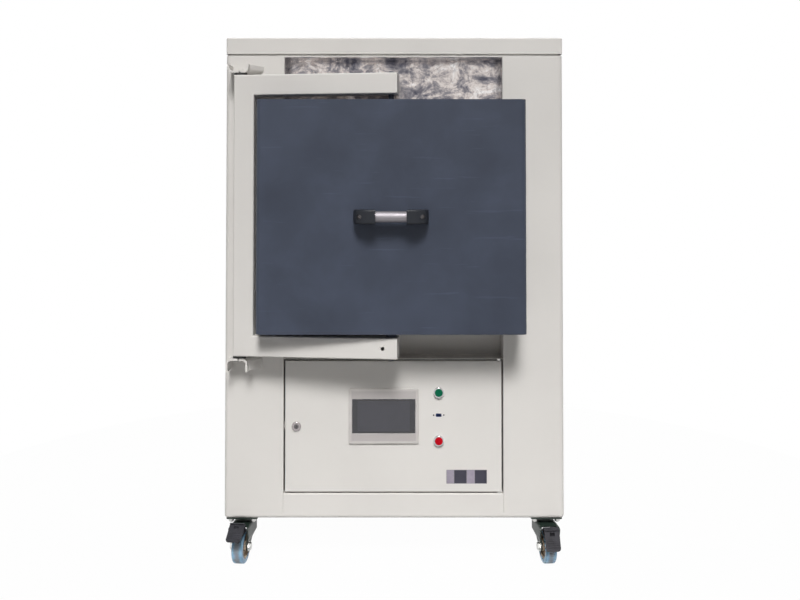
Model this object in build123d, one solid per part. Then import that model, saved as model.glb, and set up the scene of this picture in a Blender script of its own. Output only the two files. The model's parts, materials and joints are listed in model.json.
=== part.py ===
"""Floor-standing muffle furnace: a cabinet on castors with a yoke-hung door over a fibre-lined chamber.

Frame: +Z up, front towards -Y, origin on the floor at the middle of the whole machine's outline.
All lengths are millimetres. Depths are counted back from the cabinet's front face.
"""
import os
from math import cos, radians, sin

from build123d import *

os.makedirs("parts", exist_ok=True)

# ---------------------------------------------------------------- driving dimensions
# cabinet
cabinet_width = 1000
cabinet_depth = 1000
cabinet_base = 134  # underside above the floor, the height of the castors
cabinet_top = 1552
sheet = 2
corner_radius = 12
left_column_width = 174
right_column_width = 179
cap_height = 48
cap_seam = 5  # shadow gap under the cap
cap_inset = 5  # how far the frame in the shadow gap stands back
pan_rim = 16  # height of the base pan's rim
rail_top = 207  # top of the front rail
crossbar_height = 602  # floor of the door recess
mouth_plate_below = 15  # its lower edge under the inner case
recess_depth = 70
rear_return = 40
rail_flange = 30
small_bend = 3
strike_depth = 21  # lock strike behind the cabinet's face
strike_reach = 14
seat_clearance = 0.3

# furnace
chamber_width = 500
chamber_height = 400
chamber_depth = 630  # from the recess's back to the rear wall's face
chamber_centre_height = 1023
board_thickness = 130
mouth_plate = 2
mouth_flange_back = 3  # the flange's front edge behind the cabinet's face
case_sheet = 2
deck_flange = 40
hearth_plate_thickness = 10
hearth_plate_margin = 20

# heating elements
element_radius = 3.5
terminal_radius = 7
element_pitch = 190
element_first_depth = 185
element_rows = 3
element_wall_gap = 22
element_half_spacing = 25
element_length = 350  # hot zone below the roof
terminal_height = 62  # above the case's roof
terminal_below_roof = 15
bore_clearance = 1.5
clamp_height = 24
clamp_width = 30
clamp_length = 84
clamp_corner = 5
strap_radius = 12
strap_height = 44  # above the case's roof
strap_thickness = 3
thermocouple_radius = 8
thermocouple_reach = 60  # into the chamber
thermocouple_height = 1106
thermocouple_neck = 14
thermocouple_head_radius = 20
thermocouple_head_length = 40

# yoke and its hinge
hinge_x = -448
hinge_forward = 46  # hinge axis in front of the cabinet's face
pivot_reach = 443  # from hinge axis to door pivot
rest_angle = 6.5  # how far the yoke stands open
yoke_tube = 60
yoke_wall = 3
yoke_corner = 4
yoke_above_centre = 408  # the chamber's middle to the top arm's upper face
yoke_below_centre = 402
post_outer = 12  # hinge axis to the post's outer face
arm_beyond_pivot = 20
latch_hole_radius = 5.5
latch_hole_before_pivot = 21
hinge_pin_radius = 7
pin_clearance = 0.05
sleeve_wall = 2
sleeve_length = 45
hinge_pin_length = 40  # into the yoke's post
hinge_collar_radius = 9
hinge_head_height = 5
bracket_gap = 8
bracket_outer = 37  # hinge axis to the bracket's outer flange
bracket_inner = 26
bracket_beyond_axis = 20
bracket_plate = 6
bracket_bend = 16
bracket_flare = 34
bracket_slot = 4
upper_bracket_height = 26
lower_bracket_height = 38

# door
door_width = 760
door_height = 660
door_front = 46  # pivot axis to front face
door_back = 44  # pivot axis to rear face
door_corner = 14
door_sheet = 2
door_fill_gap = 16  # front face to the fill, clear of the folded corners
pivot_pin_radius = 8
pivot_pin_beyond = 6
pivot_collar_radius = 15
pivot_flange = 4
plug_width = 620
plug_height = 560
plug_depth = 60
plug_taper = 6
step_width = 480
step_height = 380
step_depth = 40

# handle
handle_length = 209
handle_height = 40
handle_tube_radius = 15.5
handle_tube_wall = 2
handle_tube_seen = 86
handle_insert = 14
handle_standoff = 40  # tube axis in front of the door
handle_foot = 36
handle_heel = 10  # thickness of the foot under the screw
handle_bow = 8
handle_round = 5
handle_screw_inset = 17
handle_screw_radius = 6
screw_radius = 3

# control door
leaf_gap = 4.5
leaf_sheet = 2
leaf_depth = 16
leaf_pivot_inset = 8
leaf_pivot_radius = 3
leaf_pivot_length = 12
leaf_block_height = 16
lock_inset = 33.5  # from the leaf's left edge
lock_height = 403
lock_flange_radius = 14
lock_barrel_radius = 9.5
lock_core_radius = 7
lock_clearance = 0.1
lock_flange_height = 4
lock_nut_height = 6
lock_barrel_length = 18
key_width = 2.4
cam_length = 32
cam_thickness = 3
screen_centre_x = -31
screen_centre_height = 434
screen_bezel = (206, 161)
screen_body = (190, 146)
screen_glass = (186, 100)
screen_body_depth = 38
bezel_front = 6
bezel_corner = 4
field_sunk = 0.8
glass_back = 4  # pocket's floor behind the bezel's face
button_beside_screen = 162  # between their middles
green_button_height = 503
red_button_height = 362
button_bezel_radius = 15
button_cap_radius = 11.5
button_travel = 4
button_barrel_radius = 11
button_barrel_length = 40
button_stem_radius = 6
button_clearance = 0.4
button_bezel_front = 9
button_bezel_round = 1.5
button_cap_height = 5
button_well = 6
usb_height = 436
usb_size = (16, 9)
usb_body_depth = 28
usb_lip = 1
usb_flange = 40
usb_socket_depth = 11

# electrical compartment
mounting_plate_depth = 300
mounting_plate_width = 600
mounting_plate_below = 105  # its upper edge below the inner case
controller_size = (130, 120, 200)
controller_fins = 8
controller_fin = 3
controller_base = 316
din_rail_height = 35
din_rail_depth = 7.5
din_rail_length = 250
din_rail_margin = 8
rail_components = ((54, 85), (45, 75), (72, 48))  # breaker, contactor, terminal row
rail_component_depth = 62
rail_component_nose = 10
coil_gap = 4
transformer_size = (200, 160, 180)

# rear cover
cover_sheet = 1.5
cover_margin = 12
louvre_length = 130
louvre_height = 16
louvre_out = 7
louvre_pitch = 34
louvre_rows = 9
louvre_columns = 2
louvre_column_pitch = 420
louvre_base = 246
gland_radius = 16
gland_bore = 7
gland_outside = 26
gland_inside = 14
gland_flange = 8
gland_hole_radius = 12.3
gland_height = 226
gland_inset = 120  # from the cabinet's side

# castors
wheel_radius = 48
wheel_width = 33
hub_radius = 36
axle_radius = 6
axle_clearance = 0.1
castor_trail = 35
castor_inset_x = 51
castor_inset_y = 52
castor_plate_size = 92
castor_plate_thickness = 4
castor_bolt_spacing = 66
castor_bolt_radius = 4
castor_bolt_head = 7.5
bolt_clearance = 0.3
castor_splay = 6
rear_castor_splay = 14
raceway_radius = 31
fork_plate = 4
fork_gap = 37
fork_crown_half = 26  # inside the crown, which is wider than the legs
fork_crown_depth = 36  # how far the crown's sides reach down
fork_apron_depth = 15
fork_knee = 15  # above the axle, where the legs start to spread
fork_bend = 6
fork_top_height = 116
kingpin_radius = 7
kingpin_nut_radius = 12
kingpin_nut_height = 8
leg_boss_radius = 14
axle_head_radius = 10
tread_round = 5
hub_sunk = 3
hub_dish = 8
hub_rim = 5
hub_boss_radius = 13
castor_clearance = 0.4
pedal_width = 44
pedal_plate = 3
pedal_hinge = (57, 103)  # ahead of the swivel axis, above the floor
pedal_swing = 35
pedal_pin_radius = 3
pedal_boss_radius = 7
pedal_ledge = (67, 88, 111)  # back edge, front edge and underside of the ledge
pedal_top = (80, 111)  # upper end of the tread
pedal_tip = (101, 56)
pedal_tip_round = 9
pedal_slot = (15, 10)
pedal_slot_below = 7  # slot's upper edge below the ledge, along the tread
pedal_shoe = (70, 87)
pedal_shoe_radius = 4

# ---------------------------------------------------------------- sizes that follow
half_width = cabinet_width / 2
recess_left = -half_width + left_column_width
recess_right = half_width - right_column_width
recess_width = recess_right - recess_left
recess_middle = (recess_left + recess_right) / 2
cap_base = cabinet_top - cap_height
side_top = cap_base - cap_seam - sheet
side_base = cabinet_base + pan_rim
chamber_x = hinge_x + pivot_reach
mouth_depth = recess_depth + mouth_plate
chamber_rear = recess_depth + chamber_depth
case_width = chamber_width + 2 * board_thickness + 2 * case_sheet
case_height = chamber_height + 2 * board_thickness + 2 * case_sheet
case_base = chamber_centre_height - case_height / 2
case_rear = chamber_rear + board_thickness + case_sheet
case_roof = case_base + case_height
mouth_plate_base = case_base - mouth_plate_below
mounting_plate_top = case_base - mounting_plate_below
post_middle = yoke_tube / 2 - post_outer
hinge_bore = hinge_pin_radius + pin_clearance
pivot_bore = pivot_pin_radius + pin_clearance
pan_bolt_hole = castor_bolt_radius + bolt_clearance
pivot_x = hinge_x + pivot_reach * cos(radians(rest_angle))
pivot_forward = hinge_forward + pivot_reach * sin(radians(rest_angle))
reach_front = pivot_forward + door_front + handle_standoff + handle_height / 2
reach_back = cover_sheet + gland_outside
front_y = reach_front - (reach_front + cabinet_depth + reach_back) / 2
back_y = front_y + cabinet_depth
hinge_y = front_y - hinge_forward
pivot_y = front_y - pivot_forward
door_face_y = pivot_y - door_front
door_rear_y = pivot_y + door_back
door_centre_height = chamber_centre_height
yoke_top = chamber_centre_height + yoke_above_centre
yoke_bottom = chamber_centre_height - yoke_below_centre
door_base = door_centre_height - door_height / 2
door_top = door_centre_height + door_height / 2
leaf_left = recess_left + leaf_gap
leaf_right = recess_right - leaf_gap
leaf_base = rail_top + leaf_gap
leaf_top = crossbar_height - sheet - leaf_gap
lock_x = leaf_left + lock_inset
button_x = screen_centre_x + button_beside_screen
gland_x = gland_inset - half_width
leaf_pivot_x = leaf_right - leaf_pivot_inset
leaf_pivot_y = front_y + leaf_pivot_inset
castor_x = half_width - castor_inset_x
front_castor_y = front_y + castor_inset_y
rear_castor_y = back_y - castor_inset_y
castor_plate_base = cabinet_base - castor_plate_thickness
element_x = chamber_width / 2 - element_wall_gap
middle_y = (front_y + back_y) / 2
chamber_floor = chamber_centre_height - chamber_height / 2
chamber_top = chamber_centre_height + chamber_height / 2
board_half = chamber_width / 2 + board_thickness
board_sides = (
    chamber_x - board_half,
    chamber_x + board_half,
    front_y + mouth_depth,
    front_y + chamber_rear + board_thickness,
)
wheel_place = Pos(castor_trail, 0, wheel_radius) * Rot(90, 0, 0)
element_depths = [element_first_depth + row * element_pitch for row in range(element_rows)]


# ---------------------------------------------------------------- helpers
def save(node, *solids):
    """Write one node's solids as a STEP file."""
    shape = solids[0] if len(solids) == 1 else Compound(list(solids))
    export_step(shape, f"parts/{node}.step")


def block(x0, x1, y0, y1, z0, z1):
    """A box between two opposite corners."""
    return Pos((x0 + x1) / 2, (y0 + y1) / 2, (z0 + z1) / 2) * Box(x1 - x0, y1 - y0, z1 - z0)


def post(x, y, z0, z1, radius):
    """An upright cylinder."""
    return Pos(x, y, (z0 + z1) / 2) * Cylinder(radius, z1 - z0)


def barrel(x, z, y0, y1, radius):
    """A cylinder that runs front to back."""
    return Pos(x, (y0 + y1) / 2, z) * Rot(90, 0, 0) * Cylinder(radius, y1 - y0)


def folded_sheet(points, bends, thickness, side, plane, length):
    """A bent sheet: its outer line, thickened to one side and drawn out along the plane's normal."""
    line = FilletPolyline(*points, radius=bends)
    section = make_face(line.offset_2d(thickness, side=side))
    return extrude(plane * section, length)


# ---------------------------------------------------------------- cabinet
def make_base_pan():
    """Rounded tray that carries everything, with the front rail folded up between the columns."""
    outline = RectangleRounded(cabinet_width, cabinet_depth, corner_radius)
    tray = extrude(Pos(0, middle_y, cabinet_base) * outline, pan_rim)
    tray = fillet(tray.faces().sort_by(Axis.Z)[0].edges(), corner_radius - sheet)
    tray = offset(tray, amount=-sheet, openings=tray.faces().sort_by(Axis.Z)[-1])
    rail = folded_sheet(
        [(front_y + rail_flange, rail_top), (front_y, rail_top), (front_y, side_base - sheet)],
        [small_bend],
        sheet,
        Side.LEFT,
        Plane.YZ.offset(recess_left),
        recess_width,
    )
    pan = tray + rail
    for place in castor_bolt_places():
        pan -= place * post(0, 0, cabinet_base, cabinet_base + sheet, pan_bolt_hole)
    return pan


def make_side_panel(recess_edge, side):
    """Side wall folded round into the front column and on into the recess."""
    outer = half_width * side
    points = [
        (recess_edge, front_y + mouth_depth),
        (recess_edge, front_y),
        (outer, front_y),
        (outer, back_y),
        (outer - side * rear_return, back_y),
    ]
    thick_side = Side.LEFT if side > 0 else Side.RIGHT
    bends = [small_bend, corner_radius, corner_radius]
    return folded_sheet(
        points, bends, sheet, thick_side, Plane.XY.offset(side_base), side_top - side_base
    )


def make_lock_strike():
    """Tab on the left jamb that the lock's cam turns behind."""
    y = front_y + strike_depth
    half = lock_barrel_radius
    return block(
        recess_left, recess_left + strike_reach, y, y + sheet, lock_height - half, lock_height + half
    )


def make_crossbar():
    """Floor of the door recess, folded up to meet the mouth plate."""
    return folded_sheet(
        [
            (front_y + recess_depth, mouth_plate_base),
            (front_y + recess_depth, crossbar_height),
            (front_y, crossbar_height),
        ],
        [small_bend],
        sheet,
        Side.LEFT,
        Plane.YZ.offset(recess_left),
        recess_width,
    )


def make_top_frame():
    """Flanged ring on the panels: it sets the cap's shadow gap and roofs the door recess."""
    place = Pos(0, middle_y, side_top)
    flange = extrude(place * RectangleRounded(cabinet_width, cabinet_depth, corner_radius), sheet)
    opening = Rectangle(cabinet_width - 2 * rear_return, cabinet_depth - 2 * rear_return)
    flange -= extrude(place * opening, sheet)
    ring = RectangleRounded(
        cabinet_width - 2 * cap_inset, cabinet_depth - 2 * cap_inset, corner_radius - cap_inset
    )
    ring -= offset(ring, -sheet)
    upstand = extrude(place * ring, cabinet_top - sheet - side_top)
    roof = block(
        recess_left, recess_right, front_y, front_y + mouth_depth, side_top - sheet, side_top
    )
    return flange + upstand + roof


def make_top_cap():
    """Inverted tray that drops over the top frame."""
    outline = RectangleRounded(cabinet_width, cabinet_depth, corner_radius / 2)
    cap = extrude(Pos(0, middle_y, cap_base) * outline, cap_height)
    cap = fillet(cap.faces().sort_by(Axis.Z)[-1].edges(), small_bend)
    inside = RectangleRounded(
        cabinet_width - 2 * sheet, cabinet_depth - 2 * sheet, corner_radius / 2 - sheet
    )
    return cap - extrude(Pos(0, middle_y, cap_base) * inside, cap_height - sheet)


def make_mouth_plate():
    """Stainless plate round the chamber's mouth, flanged forward under the recess's roof."""
    plate = block(
        recess_left,
        recess_right,
        front_y + recess_depth,
        front_y + mouth_depth,
        mouth_plate_base,
        side_top - sheet,
    )
    plate += block(
        recess_left,
        recess_right,
        front_y + mouth_flange_back,
        front_y + mouth_depth,
        side_top - sheet - mouth_plate,
        side_top - sheet,
    )
    return plate - chamber_block(chamber_width, chamber_height, 0, mouth_depth)


def make_deck():
    """Folded shelf between the side panels that carries the furnace above the electrics."""
    edge = half_width - sheet
    foot = case_base - deck_flange
    return folded_sheet(
        [(-edge, foot), (-edge, case_base), (edge, case_base), (edge, foot)],
        [corner_radius, corner_radius],
        sheet,
        Side.RIGHT,
        Plane.XZ.offset(-(back_y - corner_radius)),
        cabinet_depth - corner_radius - mouth_depth,
    )


# ---------------------------------------------------------------- furnace
def chamber_block(width, height, depth_from, depth_to):
    """A block centred on the chamber's axis, between two depths."""
    return block(
        chamber_x - width / 2,
        chamber_x + width / 2,
        front_y + depth_from,
        front_y + depth_to,
        chamber_centre_height - height / 2,
        chamber_centre_height + height / 2,
    )


def terminal_places():
    """Where the elements' terminals pass up through the roof."""
    return [
        (chamber_x + side * element_x, front_y + depth + end * element_half_spacing)
        for side in (-1, 1)
        for depth in element_depths
        for end in (-1, 1)
    ]


def cut_terminal_bores(solid, clearance):
    """Bore a solid for every terminal."""
    for x, y in terminal_places():
        solid -= post(x, y, chamber_top, case_roof + clamp_height, terminal_radius + clearance)
    return solid


def cut_thermocouple_bore(solid):
    """Bore a solid for the thermocouple's tube."""
    radius = thermocouple_radius + seat_clearance
    return solid - barrel(
        chamber_x, thermocouple_height, front_y + chamber_rear, front_y + case_rear, radius
    )


def make_inner_case():
    """Sheet box round the boards, open towards the mouth."""
    case = chamber_block(case_width, case_height, mouth_depth, case_rear)
    case -= chamber_block(
        case_width - 2 * case_sheet, case_height - 2 * case_sheet, mouth_depth, case_rear - case_sheet
    )
    return cut_thermocouple_bore(cut_terminal_bores(case, bore_clearance))


def make_floor_board():
    """Fibre board under the chamber, over the whole depth."""
    return block(*board_sides, case_base + case_sheet, chamber_floor)


def make_roof_board():
    """Fibre board over the chamber, bored for the elements."""
    return cut_terminal_bores(
        block(*board_sides, chamber_top, case_roof - case_sheet), bore_clearance
    )


def make_wall_boards():
    """The two side boards between hearth and roof."""
    width = chamber_width + 2 * board_thickness
    ring = chamber_block(width, chamber_height, mouth_depth, chamber_rear + board_thickness)
    core = chamber_block(chamber_width, chamber_height, mouth_depth, chamber_rear + board_thickness)
    return (ring - core).solids()


def make_rear_board():
    """Rear wall of the chamber, bored for the thermocouple."""
    board = chamber_block(
        chamber_width, chamber_height, chamber_rear, chamber_rear + board_thickness
    )
    return cut_thermocouple_bore(board)


def make_hearth_plate():
    """Silicon carbide slab that the load stands on."""
    half = chamber_width / 2 - hearth_plate_margin
    slab = block(
        chamber_x - half,
        chamber_x + half,
        front_y + mouth_depth + step_depth,
        front_y + chamber_rear - hearth_plate_margin,
        chamber_floor,
        chamber_floor + hearth_plate_thickness,
    )
    return fillet(slab.edges().filter_by(Axis.Z), hearth_plate_thickness)


def make_element(x, y):
    """One U-shaped heating element: thin hot zone, thick terminals up through the roof."""
    low = chamber_top - element_length + element_half_spacing
    near = (x, y - element_half_spacing, chamber_top)
    far = (x, y + element_half_spacing, chamber_top)
    bend_start = (x, y - element_half_spacing, low)
    bend_end = (x, y + element_half_spacing, low)
    bend_foot = (x, y, low - element_half_spacing)
    path = Line(near, bend_start) + ThreePointArc(bend_start, bend_foot, bend_end) + Line(bend_end, far)
    element = sweep(Plane(origin=near, z_dir=(0, 0, -1)) * Circle(element_radius), path=path)
    for end in (-1, 1):
        element += post(
            x,
            y + end * element_half_spacing,
            chamber_top - terminal_below_roof,
            case_roof + terminal_height,
            terminal_radius,
        )
    return element


def make_element_clamp(x, y):
    """Ceramic block on the case's roof that grips both terminals of one element."""
    clamp = extrude(
        Pos(x, y, case_roof) * RectangleRounded(clamp_width, clamp_length, clamp_corner), clamp_height
    )
    return cut_terminal_bores(clamp, seat_clearance)


def make_element_strap(x, y):
    """Braid that joins the facing terminals of two neighbouring elements."""
    span = element_pitch - 2 * element_half_spacing
    outline = SlotCenterToCenter(span, 2 * strap_radius, rotation=90)
    for end in (-1, 1):
        outline -= Pos(0, end * span / 2) * Circle(terminal_radius + seat_clearance)
    return extrude(Pos(x, y, case_roof + strap_height) * outline, strap_thickness)


def make_thermocouple():
    """Sheathed probe through the rear wall, with its flange and terminal head."""
    case_y = front_y + case_rear
    tip = front_y + chamber_rear - thermocouple_reach
    neck = case_y + thermocouple_neck
    probe = barrel(chamber_x, thermocouple_height, tip, neck, thermocouple_radius)
    flange = barrel(chamber_x, thermocouple_height, case_y, case_y + sheet, thermocouple_head_radius)
    head = barrel(
        chamber_x, thermocouple_height, neck, neck + thermocouple_head_length, thermocouple_head_radius
    )
    head = fillet(head.edges().filter_by(GeomType.CIRCLE), sheet)
    return probe + flange + head


# ---------------------------------------------------------------- electrical compartment
def make_mounting_plate():
    """Upright plate for the switchgear, folded at the foot and screwed to the base pan."""
    y = front_y + mounting_plate_depth
    floor = cabinet_base + sheet
    return folded_sheet(
        [(y, mounting_plate_top), (y, floor), (y + rear_return, floor)],
        [small_bend],
        sheet,
        Side.LEFT,
        Plane.YZ.offset(recess_middle - mounting_plate_width / 2),
        mounting_plate_width,
    )


def make_power_controller():
    """Thyristor controller: moulded cover on a finned heat sink."""
    width, depth, height = controller_size
    x = recess_middle - mounting_plate_width / 3
    y = front_y + mounting_plate_depth
    cover_y = y - depth / 2
    cover = block(x - width / 2, x + width / 2, y - depth, cover_y, controller_base, controller_base + height)
    cover = fillet(cover.faces().sort_by(Axis.Y)[0].edges(), corner_radius / 2)
    pitch = (width - controller_fin) / (controller_fins - 1)
    for fin in range(controller_fins):
        fin_x = x - width / 2 + fin * pitch
        cover += block(
            fin_x, fin_x + controller_fin, cover_y, y, controller_base, controller_base + height
        )
    return cover


def make_switchgear():
    """Breaker, contactor and terminal row on one mounting rail."""
    y = front_y + mounting_plate_depth
    x = recess_middle
    z = controller_base + controller_size[2] / 2
    half = din_rail_height / 2
    rail = block(x, x + din_rail_length, y - din_rail_depth, y, z - half, z + half)
    face = y - din_rail_depth
    solids = [rail]
    left = x + din_rail_margin
    for width, height in rail_components:
        body = block(
            left, left + width, face - rail_component_depth, face, z - height / 2, z + height / 2
        )
        nose = block(
            left,
            left + width,
            face - rail_component_depth - rail_component_nose,
            face - rail_component_depth,
            z - height / 4,
            z + height / 4,
        )
        solids.append(body + nose)
        left += width + din_rail_margin
    return solids


def make_transformer():
    """Three-legged laminated core with a coil on each leg, bolted to the base pan."""
    width, depth, height = transformer_size
    floor = cabinet_base + sheet
    x = recess_middle + mounting_plate_width / 4
    y = front_y + mounting_plate_depth + 2 * depth
    leg = width / 7
    core_half = depth / 5
    core = block(x - width / 2, x + width / 2, y - core_half, y + core_half, floor, floor + height)
    window = width / 2 - 1.5 * leg
    for side in (-1, 1):
        middle = x + side * (leg / 2 + window / 2)
        core -= block(
            middle - window / 2,
            middle + window / 2,
            y - core_half,
            y + core_half,
            floor + leg,
            floor + height - leg,
        )
    coil_width = leg + window - coil_gap
    coil_height = height - 2 * leg - coil_gap
    solids = [core]
    for place in (-1, 0, 1):
        leg_x = x + place * (leg + window)
        coil = Pos(leg_x, y, floor + leg) * extrude(
            RectangleRounded(coil_width, coil_width + 2 * core_half - leg, leg / 2)
            - Rectangle(leg, 2 * core_half),
            coil_height,
        )
        solids.append(coil)
    return solids


# ---------------------------------------------------------------- rear
def make_rear_cover():
    """Screwed-on back sheet with columns of pressed louvres."""
    half = half_width - cover_margin
    cover = block(-half, half, back_y, back_y + cover_sheet, side_base, side_top)
    run = louvre_length / 2 - cover_sheet
    lip = louvre_height / 2
    throat = louvre_out - cover_sheet
    scoop = Polyline((0, lip), (louvre_out, -lip), (0, -lip), close=True)
    hollow = Polyline((0, lip - 2 * cover_sheet), (throat, -lip), (0, -lip), close=True)
    hood = extrude(Plane.YZ * make_face(scoop), louvre_length / 2, both=True)
    hood -= extrude(Plane.YZ * make_face(hollow), run, both=True)
    slot = block(-run, run, -cover_sheet, 0, -lip, lip - 2 * cover_sheet)
    for column in range(louvre_columns):
        x = (column - (louvre_columns - 1) / 2) * louvre_column_pitch
        for row in range(louvre_rows):
            place = Pos(x, back_y + cover_sheet, louvre_base + row * louvre_pitch)
            cover = cover - place * slot + place * hood
    return cover - barrel(gland_x, gland_height, back_y, back_y + cover_sheet, gland_hole_radius)


def make_cable_gland():
    """Gland for the supply cable: hexagon body, dome nut, and a locknut inside."""
    hexagon = Plane.XZ * RegularPolygon(gland_radius, 6)
    inside = back_y - gland_inside
    outside = back_y + cover_sheet
    place = Pos(gland_x, 0, gland_height)
    body = place * Pos(0, outside + gland_flange, 0) * extrude(hexagon, gland_flange)
    locknut = place * Pos(0, back_y, 0) * extrude(hexagon, gland_flange / 2)
    stem = barrel(gland_x, gland_height, inside, outside, gland_hole_radius - seat_clearance)
    dome = barrel(
        gland_x, gland_height, outside + gland_flange, outside + gland_outside, gland_radius - sheet
    )
    dome = fillet(dome.faces().sort_by(Axis.Y)[-1].edges(), gland_radius / 3)
    gland = body + locknut + stem + dome
    return gland - barrel(gland_x, gland_height, inside, outside + gland_outside, gland_bore)


# ---------------------------------------------------------------- yoke and its hinge
def make_bracket(height, web_height, up):
    """Bent-plate hinge bracket, its right flange flared back to the column, slotted to grip the pin."""
    tip = -(hinge_forward + bracket_beyond_axis)
    outline = Polyline(
        (-bracket_outer, 0),
        (-bracket_outer, tip),
        (bracket_inner, tip),
        (bracket_inner, -hinge_forward),
        (bracket_inner + bracket_flare, 0),
        close=True,
    )
    bracket = extrude(make_face(outline), height)
    sole = bracket.faces().sort_by(Axis.Z)[0].edges()
    front_and_back = sole.filter_by(Axis.X)
    bracket = fillet([edge for edge in sole if edge not in front_and_back], bracket_bend)
    by_depth = bracket.faces().sort_by(Axis.Y)
    top = bracket.faces().sort_by(Axis.Z)[-1]
    bracket = offset(bracket, amount=-bracket_plate, openings=[top, by_depth[0], by_depth[-1]])
    bracket -= post(0, -hinge_forward, 0, bracket_plate, hinge_pin_radius + pin_clearance)
    bracket -= block(-bracket_slot / 2, bracket_slot / 2, tip, -hinge_forward, 0, bracket_plate)
    if not up:
        bracket = mirror(bracket, Plane.XY)
    return Pos(hinge_x, front_y, web_height) * bracket


def make_hinge_pins():
    """Pins fixed in the brackets, each with a head and the collar that the yoke turns against."""
    pins = []
    for face, away in ((yoke_top, 1), (yoke_bottom, -1)):
        inner = face - away * hinge_pin_length
        washer = face + away * seat_clearance
        web = face + away * bracket_gap
        plate = web + away * bracket_plate
        head = plate + away * hinge_head_height
        pin = post(hinge_x, hinge_y, min(inner, plate), max(inner, plate), hinge_pin_radius)
        pin += post(hinge_x, hinge_y, min(washer, web), max(washer, web), hinge_collar_radius)
        pin += post(hinge_x, hinge_y, min(plate, head), max(plate, head), hinge_collar_radius)
        pins.append(pin)
    return pins


def make_yoke():
    """C-frame of square tube: sleeves for the hinge pins in the post and for the door pivots in the arms."""
    arm_end = pivot_reach + arm_beyond_pivot
    upper = yoke_top - yoke_tube / 2
    lower = yoke_bottom + yoke_tube / 2
    path = Polyline(
        (arm_end, 0, upper), (post_middle, 0, upper), (post_middle, 0, lower), (arm_end, 0, lower)
    )
    outer = RectangleRounded(yoke_tube, yoke_tube, yoke_corner)
    section = outer - offset(outer, -yoke_wall)
    start = Plane(origin=(arm_end, 0, upper), z_dir=(-1, 0, 0))
    frame = sweep(start * section, path=path, transition=Transition.RIGHT)
    for height in (upper, lower):
        cap = Plane(origin=(arm_end, 0, height), z_dir=(-1, 0, 0)) * outer
        frame += extrude(cap, yoke_wall)
        frame += post(
            pivot_reach, 0, height - yoke_tube / 2, height + yoke_tube / 2, pivot_bore + sleeve_wall
        )
        frame -= post(pivot_reach, 0, height - yoke_tube / 2, height + yoke_tube / 2, pivot_bore)
    for low, high in ((yoke_top - sleeve_length, yoke_top), (yoke_bottom, yoke_bottom + sleeve_length)):
        frame += post(0, 0, low, high, hinge_bore + sleeve_wall)
        frame -= post(0, 0, low, high, hinge_bore)
    hole_x = pivot_reach - latch_hole_before_pivot
    frame -= barrel(hole_x, lower, -yoke_tube / 2, -yoke_tube / 2 + yoke_wall, latch_hole_radius)
    return Pos(hinge_x, hinge_y, 0) * Rot(0, 0, -rest_angle) * frame


# ---------------------------------------------------------------- door
def make_door_shell():
    """Folded front and sides with end plates, open at the back."""
    half = door_width / 2
    points = [(-half, door_back), (-half, -door_front), (half, -door_front), (half, door_back)]
    line = FilletPolyline(*points, radius=[door_corner, door_corner])
    wrap = extrude(make_face(line.offset_2d(door_sheet, side=Side.LEFT)), door_height)
    end = extrude(make_face(line + Line(points[-1], points[0])), door_sheet)
    shell = wrap + end + Pos(0, 0, door_height - door_sheet) * end
    for face in (shell.faces().sort_by(Axis.Z)[-1], shell.faces().sort_by(Axis.Z)[0]):
        rim = [edge for edge in face.edges() if edge.center().Y < door_back - door_sheet]
        shell = fillet(rim, door_sheet * 0.75)
    shell = Pos(pivot_x, pivot_y, door_base) * shell
    for x in handle_screw_places():
        shell -= barrel(
            x, door_centre_height, door_face_y, door_face_y + door_sheet, screw_radius + seat_clearance
        )
    return shell


def door_block(width, height, y0, y1):
    """A block centred on the door, at distances behind the pivot axis."""
    return block(
        pivot_x - width / 2,
        pivot_x + width / 2,
        pivot_y + y0,
        pivot_y + y1,
        door_centre_height - height / 2,
        door_centre_height + height / 2,
    )


def make_door_back_plate():
    """Steel frame that closes the box round the plug."""
    width = door_width - 2 * door_sheet
    height = door_height - 2 * door_sheet
    plate = door_block(width, height, door_back - door_sheet, door_back)
    return plate - door_block(plug_width, plug_height, door_back - door_sheet, door_back)


def make_door_plug():
    """Fibre lining: the fill of the box, the plug for the recess and the step for the chamber's mouth."""
    fill = door_block(
        door_width - 2 * door_sheet,
        door_height - 2 * door_sheet,
        door_fill_gap - door_front,
        door_back - door_sheet,
    )
    neck = door_block(plug_width, plug_height, door_back - door_sheet, door_back)
    face = Plane(
        origin=(pivot_x, door_rear_y, door_centre_height), x_dir=(-1, 0, 0), z_dir=(0, 1, 0)
    )
    plug = extrude(face * Rectangle(plug_width, plug_height), plug_depth, taper=plug_taper)
    step_face = face.offset(plug_depth)
    step = extrude(step_face * Rectangle(step_width, step_height), step_depth, taper=plug_taper)
    return fill + neck + plug + step


def make_door_pivots():
    """Pins welded to the box's ends, with the collar that stands on the lower arm."""
    top = post(pivot_x, pivot_y, door_top, yoke_top + pivot_pin_beyond, pivot_pin_radius)
    top += post(pivot_x, pivot_y, door_top, door_top + pivot_flange, pivot_collar_radius)
    bottom = post(pivot_x, pivot_y, yoke_bottom - pivot_pin_beyond, door_base, pivot_pin_radius)
    lower_arm = yoke_bottom + yoke_tube
    bottom += post(pivot_x, pivot_y, lower_arm + seat_clearance, door_base, pivot_collar_radius)
    return top, bottom


# ---------------------------------------------------------------- handle
def handle_screw_places():
    """Where the two handle screws stand across the door."""
    reach = handle_length / 2 - handle_screw_inset
    return (pivot_x - reach, pivot_x + reach)


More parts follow.
